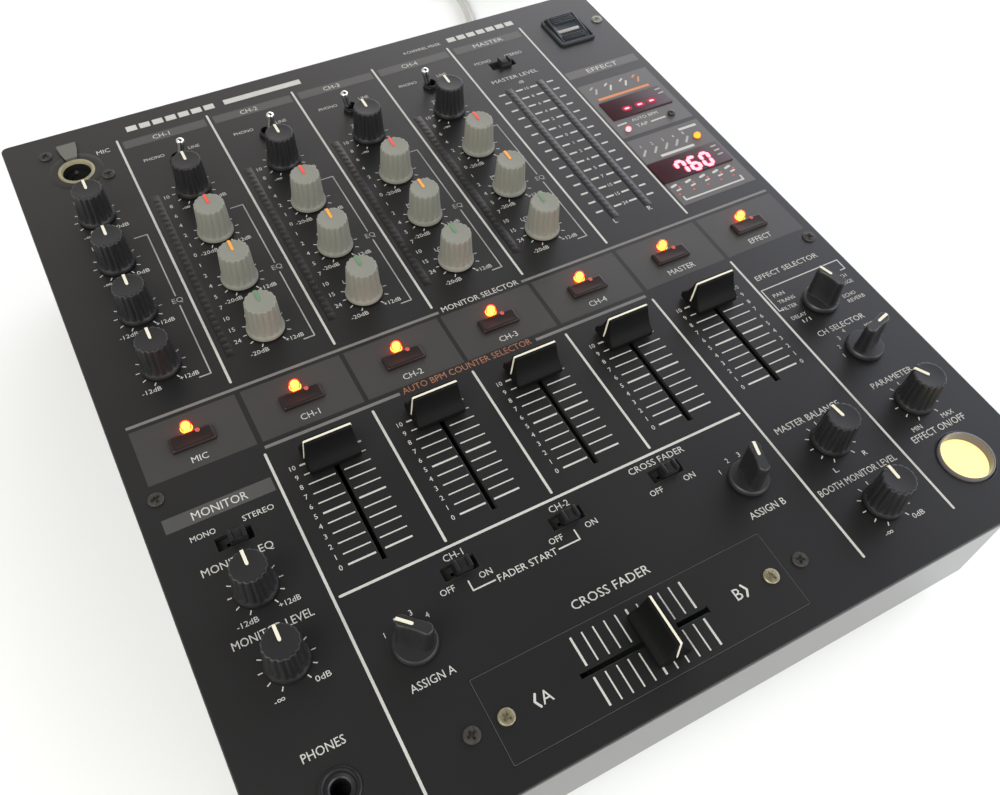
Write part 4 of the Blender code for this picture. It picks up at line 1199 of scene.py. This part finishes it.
def output_mesh():
    """A balanced three-pin output: a flange with a round well, pins in it, and two screws."""
    bm = bmesh.new()
    half_x, half_y, steps = 13.5, 15.5, 48
    rings = []
    for z, inset in ((0, 0), (1.2, 0), (1.5, 0.4)):
        points = []
        for i in range(steps):
            c, s = math.cos(2 * math.pi * i / steps), math.sin(2 * math.pi * i / steps)
            reach = (abs(c / (half_x - inset)) ** 9 + abs(s / (half_y - inset)) ** 9) ** (-1 / 9)
            points.append((reach * c, reach * s, z))
        rings.append(points)
    rings += [ring(r, z, steps) for r, z in ((11.4, 1.5), (11.2, 2.2), (9.9, 2.2), (9.7, 1.9), (9.6, -8))]
    skin(bm, rings, 0, cap_start=False)
    lathe(bm, ((0, -7.9), (8.2, -7.9), (8.2, -4.6), (7.9, -4.4), (0, -4.4)), 32, 0)
    for place in pin_places(4.6):
        lathe(bm, ((0, -8), (1.2, -8), (1.2, -1.4), (0.7, -0.8), (0, -0.7)), 12, 1, place)
    for x, y in ((-10.8, 12.6), (10.8, -12.6)):
        lathe(bm, ((0, 1.4), (1.7, 1.4), (1.6, 2.0), (0.9, 2.2), (0.5, 1.7), (0, 1.7)), 12, 1, (x, y))
    return finished(bm, "balanced_output", KEY, STEEL, angle=35)


output = output_mesh()
for i, x in enumerate((208, 238)):
    add(f"balanced_output_{i + 1}", output, rear_spot(x, 46), turn_back, slot="black_plastic")

rear_ink = Print("rear_legend", INK_WHITE, 0)


def from_behind(x):
    """The panel's x, measured to the right by someone who looks at the rear wall."""
    return PANEL_WIDTH - x


for n in range(4):
    left, right = from_behind(34 + 27 * n + 18.5), from_behind(34 + 27 * n - 5)
    rear_ink.text(f"CH-{n + 1}", (left + right) / 2, 66.4, 2.4)
    rear_ink.path(((left, 62), (left, 64), (right, 64), (right, 62)), 0.4)
for words, x, z in (("MASTER OUT", 162.5, 66.4), ("L", 208, 64.2), ("R", 238, 64.2), ("MAINS IN", 272, 53.6)):
    rear_ink.text(words, from_behind(x), z, 2.4)
for vert in rear_ink.bm.verts:
    vert.co = rear_spot(from_behind(vert.co.x), vert.co.y, 0.06)
rear_mesh = bpy.data.meshes.new("rear_legend")
rear_ink.bm.to_mesh(rear_mesh)
rear_ink.bm.free()
rear_mesh.materials.append(INK_WHITE)
add("rear_legend", rear_mesh, slot="case_black")

small_dark = screw_mesh("case_screw", DARK_SCREW, 2.6, 1.0)
for side, x in ((-1, 1.5), (1, PANEL_WIDTH - 1.5)):
    for i, (y, z) in enumerate(((24, 22), (24, 74), (177, 74), (336, 22), (336, 74))):
        name = f"side_screw_{'lr'[side > 0]}{i + 1}"
        turned = (0, side * math.pi / 2, 0)
        add(name, small_dark, spot(x, y, z - PANEL_TOP), turned, slot="case_black")
for i, (x, z) in enumerate(((12, 18), (12, 76), (190, 76), (296, 18), (296, 76))):
    add(f"rear_screw_{i + 1}", small_dark, rear_spot(x, z), turn_back, slot="case_black")

# Flat dark faces on both side walls stand in for the vent slots: painted shade where the openings are.
VENT_X, VENT_Z, VENT_HALF, VENT_RADIUS = 152.55, 42, 14, 1.3
vents = bmesh.new()
for x in (-VENT_X, VENT_X):
    for i in range(14):
        y = 60 + 6 * i
        points = []
        for start, z in ((0.5, VENT_Z - VENT_HALF), (-0.5, VENT_Z + VENT_HALF)):
            for k in range(7):
                angle = math.pi * (k / 6 + start)
                points.append((x, y + VENT_RADIUS * math.sin(angle), z + VENT_RADIUS * math.cos(angle)))
        vents.faces.new([vents.verts.new(p) for p in points])
add("side_vent_shade", finished(vents, "side_vent_shade", WELL, smooth=False), slot="case_black")

gland = bmesh.new()
nut = ((9, 0), (8.8, 1.6), (7.2, 2.0), (6.9, 6.2), (6.2, 6.9))
lathe_ring(gland, (*nut, (4.2, 7.2), (3.9, 11), (3.5, 16), (3.15, 16.2)), 32)
add("cord_gland", finished(gland, "cord_gland", RUBBER, angle=35), rear_spot(272, 42), turn_back)

pads = bmesh.new()
pad = ((11.02, 8.0), (11.15, 7.8), (11.15, 4.2), (11.6, 4.0), (11.9, 1.0), (11.5, 0.15), (10.8, 0.02))
for x in (28, 280):
    for y in (32, 322):
        lathe_ring(pads, pad, 40, centre=(x - PANEL_WIDTH / 2, y - BODY_DEPTH / 2))
add("foot_pads", finished(pads, "foot_pads", RUBBER, angle=35))


# ---------------------------------------------------------------- CAD nodes that stay

for name, material in (
    ("top_panel", PAINT),
    ("cross_fader_plate", PAINT),
    ("chassis", CASE),
    ("control_board", BOARD),
):
    mesh = nodes[name].data
    mesh.materials.clear()
    mesh.materials.append(material)

# Painted highlight: a thin ring, lighter than the panel and just over it, round the cross fader plate's edge.
edge = bmesh.new()
half_x, half_y, width = 57.35, 14.95, 0.22
outer, inner = block_ring(half_x, half_y, 0, 0.4), block_ring(half_x - width, half_y - width, 0, 0.3)
skin(edge, [outer, inner], cap_start=False, cap_end=False)
add("plate_edge_highlight", finished(edge, "plate_edge_highlight", INK_BAR, smooth=False), spot(CROSS_X, 22.7, 0.03))


# ---------------------------------------------------------------- mains lead

CORD_RADIUS = 3.0
LEAD = (
    (272.0, 359.1, 42.0),
    (272.1, 372.0, 41.8),
    (273.5, 388.0, 39.8),
    (277.5, 404.0, 33.8),
    (282.5, 419.0, 25.0),
    (288.5, 434.0, 15.4),
    (295.0, 449.0, 7.6),
    (301.0, 463.0, 4.0),
    (306.0, 478.0, 3.2),
    (309.3, 494.0, 3.2),
    (310.8, 508.0, 3.2),
    (311.0, 522.0, 3.2),
)
COIL_X, COIL_Y = 351.0, 540.0
# Each turn's start (radius, height), then the angle at which it moves over to the next one's.
TURNS = (
    (40.2, 3.2, 305),
    (34.0, 3.2, 275),
    (27.8, 3.2, 245),
    (27.8, 9.3, 215),
    (34.0, 9.3, 185),
    (40.2, 9.3, 155),
    (37.1, 15.4, 125),
    (31.0, 15.4, 400),
)
PLUG_AT = (385.0, 540.0, 18.8 + 7.5)


def ease(t):
    """A smooth step from 0 to 1."""
    t = min(max(t, 0), 1)
    return t * t * (3 - 2 * t)


def smooth_route(route):
    """Points along the Catmull-Rom curve through a route."""
    count = 6
    route = [Vector(p) for p in route]
    ends = [route[0] * 2 - route[1], *route, route[-1] * 2 - route[-2]]
    made = []
    for a, b, c, d in zip(ends, ends[1:], ends[2:], ends[3:]):
        for i in range(count):
            t = i / count
            made.append(
                b
                + (c - a) * (t / 2)
                + (a * 2 - b * 5 + c * 4 - d) * (t * t / 2)
                + (b * 3 - a - c * 3 + d) * (t * t * t / 2)
            )
    return made + [route[-1]]


def coil_points():
    """The turns of the coil, each lying beside or on the one before, and the end that rises to the plug."""
    made = []
    for number, (radius, z, shift) in enumerate(TURNS):
        last = number == len(TURNS) - 1
        for degrees in range(0 if number else 6, 162 if last else 360, 6):
            r, h = radius, z
            if not last:
                next_radius, next_z = TURNS[number + 1][:2]
                t = (degrees - shift) / 30
                lead, lag = (ease(t * 1.6), ease(t * 1.6 - 0.6)) if next_z > z else (ease(t), ease(t))
                r = radius + (next_radius - radius) * lag
                h = z + (next_z - z) * lead
            else:
                r = radius + (34.0 - radius) * ease((degrees - 108) / 54)
                h = z + (PLUG_AT[2] - z) * ease((degrees - 84) / 84)
            angle = math.radians(180 - degrees)
            made.append(Vector((COIL_X + r * math.cos(angle), COIL_Y + r * math.sin(angle), h)))
    made.append(Vector((PLUG_AT[0], PLUG_AT[1] + 9.3, PLUG_AT[2])))
    return made


def lead_curve():
    """The cord as one curve, with its length and the place where it leaves the case."""
    points = [spot(p.x, p.y, p.z - PANEL_TOP) for p in smooth_route(LEAD) + coil_points()]
    curve = bpy.data.curves.new("mains_lead_cord", "CURVE")
    curve.dimensions = "3D"
    curve.bevel_depth = CORD_RADIUS * MM
    curve.bevel_resolution = 5
    curve.use_fill_caps = True
    spline = curve.splines.new("POLY")
    spline.points.add(len(points) - 1)
    for point, at in zip(spline.points, points):
        point.co = (*at, 1)
    curve.materials.append(CORD)
    made = placed("mains_lead_cord", curve)
    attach(made, ROOT)
    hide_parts("mains_lead", "mains_lead_coil")
    length = sum((b - a).length for a, b in zip(points, points[1:]))
    return made, length, points[0]


def plug_mesh():
    """A flat two-blade plug with a ribbed neck, its blades along +Z."""
    bm = bmesh.new()
    sizes = [(3.6, 3.6, -9.0, 3.4), (4.4, 4.4, -8.6, 4.0)]
    for i in range(4):
        z = -8.0 + 2.0 * i
        sizes += [(4.4, 4.4, z, 4.0), (4.4, 4.4, z + 1.1, 4.0)]
        sizes += [(3.8, 3.8, z + 1.3, 3.6), (3.8, 3.8, z + 1.8, 3.6)]
    sizes += [(4.6, 4.5, 0.2, 4.0), (7.4, 5.4, 1.8, 4.6), (10.2, 6.4, 4.4, 5.2), (12.0, 7.1, 8.0, 5.6)]
    sizes += [(12.8, 7.4, 12.0, 5.4), (13.0, 7.5, 16.0, 5.0), (13.0, 7.5, 31.6, 4.6)]
    sizes += [(12.7, 7.2, 33.0, 4.4), (12.0, 6.6, 33.8, 4.0)]
    skin(bm, [block_ring(a, b, z, c, steps=6) for a, b, z, c in sizes])
    for side in (-1, 1):
        rings = []
        for z, half in ((33.6, 3.15), (47.6, 3.15), (49.4, 2.4), (50.0, 1.2)):
            thick = 0.75 if z < 49 else 0.6
            rings.append(block_ring(thick, half, z, 0.2, (side * 6.35, 0), 2))
        skin(bm, rings, 1)
    return finished(bm, "plug_moulding", PLUG, BRASS, angle=40)


lead, lead_length, lead_start = lead_curve()
plug_at = spot(*PLUG_AT[:2], PLUG_AT[2] - PANEL_TOP)
plug = add("plug_moulding", plug_mesh(), plug_at, (math.pi / 2, 0, 0), "cord_grey", node="mains_plug")


def squared(angle):
    """The point at an angle on a unit circle drawn out towards the corners of a square."""
    x, y = math.cos(angle), math.sin(angle)
    return Vector((math.copysign(abs(x) ** 0.6, x), math.copysign(abs(y) ** 0.6, y)))


def tie_mesh():
    """A cable tie: a band round the bundle of turns, with rounded corners."""
    bm = bmesh.new()
    rings = []
    for i in range(17):
        corner = squared(2 * math.pi * i / 16)
        across, up = 34 + 9.75 * corner.x, 9.4 + 9.35 * corner.y
        rings.append([(across, -1.6, up), (across, 1.6, up)])
    for a, b in zip(rings, rings[1:]):
        bm.faces.new([bm.verts.new(p) for p in (a[0], a[1], b[1], b[0])])
    return finished(bm, "coil_tie", RUBBER)


tie = add("coil_tie", tie_mesh(), spot(COIL_X, COIL_Y, -PANEL_TOP), (0, 0, math.radians(-75)))


# ---------------------------------------------------------------- camera, floor and light


def make_camera():
    """The photo's camera, as fitted to the edges of the panel."""
    data = bpy.data.cameras.new("camera")
    data.lens = 35.03
    data.sensor_width = 36
    camera = placed("camera", data)
    right = Vector((0.878, -0.4766, 0.0459))
    up = Vector((0.3631, 0.7252, 0.5851))
    back = right.cross(up)
    turn = Matrix((right, up, back)).transposed().to_4x4()
    camera.matrix_world = Matrix.Translation(spot(20.67, -55.08, 302)) @ turn
    bpy.context.scene.camera = camera


def make_floor():
    """A wide, pale table top."""
    mesh = bpy.data.meshes.new("floor")
    side = 6
    corners = [(-side, -side, 0), (side, -side, 0), (side, side, 0), (-side, side, 0)]
    mesh.from_pydata(corners, [], [(0, 1, 2, 3)])
    mesh.materials.append(textured("floor_pale", (0.85, 0.87, 0.86), 0.6, 40, 0.05, 0.2, 0.01, smear=2))
    placed("floor", mesh)


def area_light(name, place, target, size, power, colour):
    """A rectangle of light that faces a target."""
    data = bpy.data.lights.new(name, "AREA")
    data.shape = "RECTANGLE"
    data.size, data.size_y = size
    data.energy = power
    data.color = colour
    light = placed(name, data)
    light.location = place
    light.rotation_euler = (Vector(target) - Vector(place)).to_track_quat("-Z", "Y").to_euler()


def make_world():
    """A dim ceiling over brighter walls, with a window behind to the right and a cool glow at the right."""
    world = bpy.data.worlds.new("world")
    world.use_nodes = True
    tree = world.node_tree
    link = tree.links.new
    place = shader_node(tree, "TexCoord")
    axes = shader_node(tree, "SeparateXYZ")
    link(place.outputs["Generated"], axes.inputs["Vector"])

    def towards(direction):
        """How far each direction of view leans that way."""
        made = shader_node(tree, "VectorMath", {1: direction}, operation="DOT_PRODUCT")
        link(place.outputs["Generated"], made.inputs[0])
        return made.outputs["Value"]

    def ramp(value, start, end, low, high, kind="LINEAR"):
        """Goes from low to high as the value goes from start to end."""
        limits = {"From Min": start, "From Max": end, "To Min": low, "To Max": high}
        made = shader_node(tree, "MapRange", limits, interpolation_type=kind)
        link(value, made.inputs["Value"])
        return made.outputs["Result"]

    def plus(a, b):
        """The sum of two values."""
        made = shader_node(tree, "Math")
        link(a, made.inputs[0])
        link(b, made.inputs[1])
        return made.outputs["Value"]

    wall = ramp(towards((0.22, -0.1, 1.0)), 0.88, 0.45, CEILING, WALLS)
    window = ramp(towards((0.6, 0.74, 0.1)), 0.76, 0.95, 0, WINDOWS, "SMOOTHSTEP")
    glow = ramp(axes.outputs["X"], 0.5, 0.8, 0, SIDE_GLOW)
    tint = colour_mix(tree, (1.0, 0.95, 0.915), (0.93, 0.96, 1.08))
    link(ramp(axes.outputs["X"], 0.25, 0.75, 0, 1), tint.inputs["Factor"])
    background = tree.nodes["Background"]
    link(tint.outputs["Result"], background.inputs["Color"])
    link(plus(plus(wall, window), glow), background.inputs["Strength"])
    bpy.context.scene.world = world


CEILING, WALLS, WINDOWS, SIDE_GLOW = 0.08, 1.0, 2.6, 1.5
make_camera()
make_floor()
make_world()
area_light("key", (-1.5, -0.7, 1.7), (0, 0, 0), (1.5, 1.5), 47, (1.0, 0.99, 0.97))
area_light("front", (0.9, -1.7, 1.2), (0.1, -0.3, 0), (1.8, 1.2), 27, (1.0, 0.99, 0.95))
bpy.context.scene.view_settings.view_transform = "Standard"
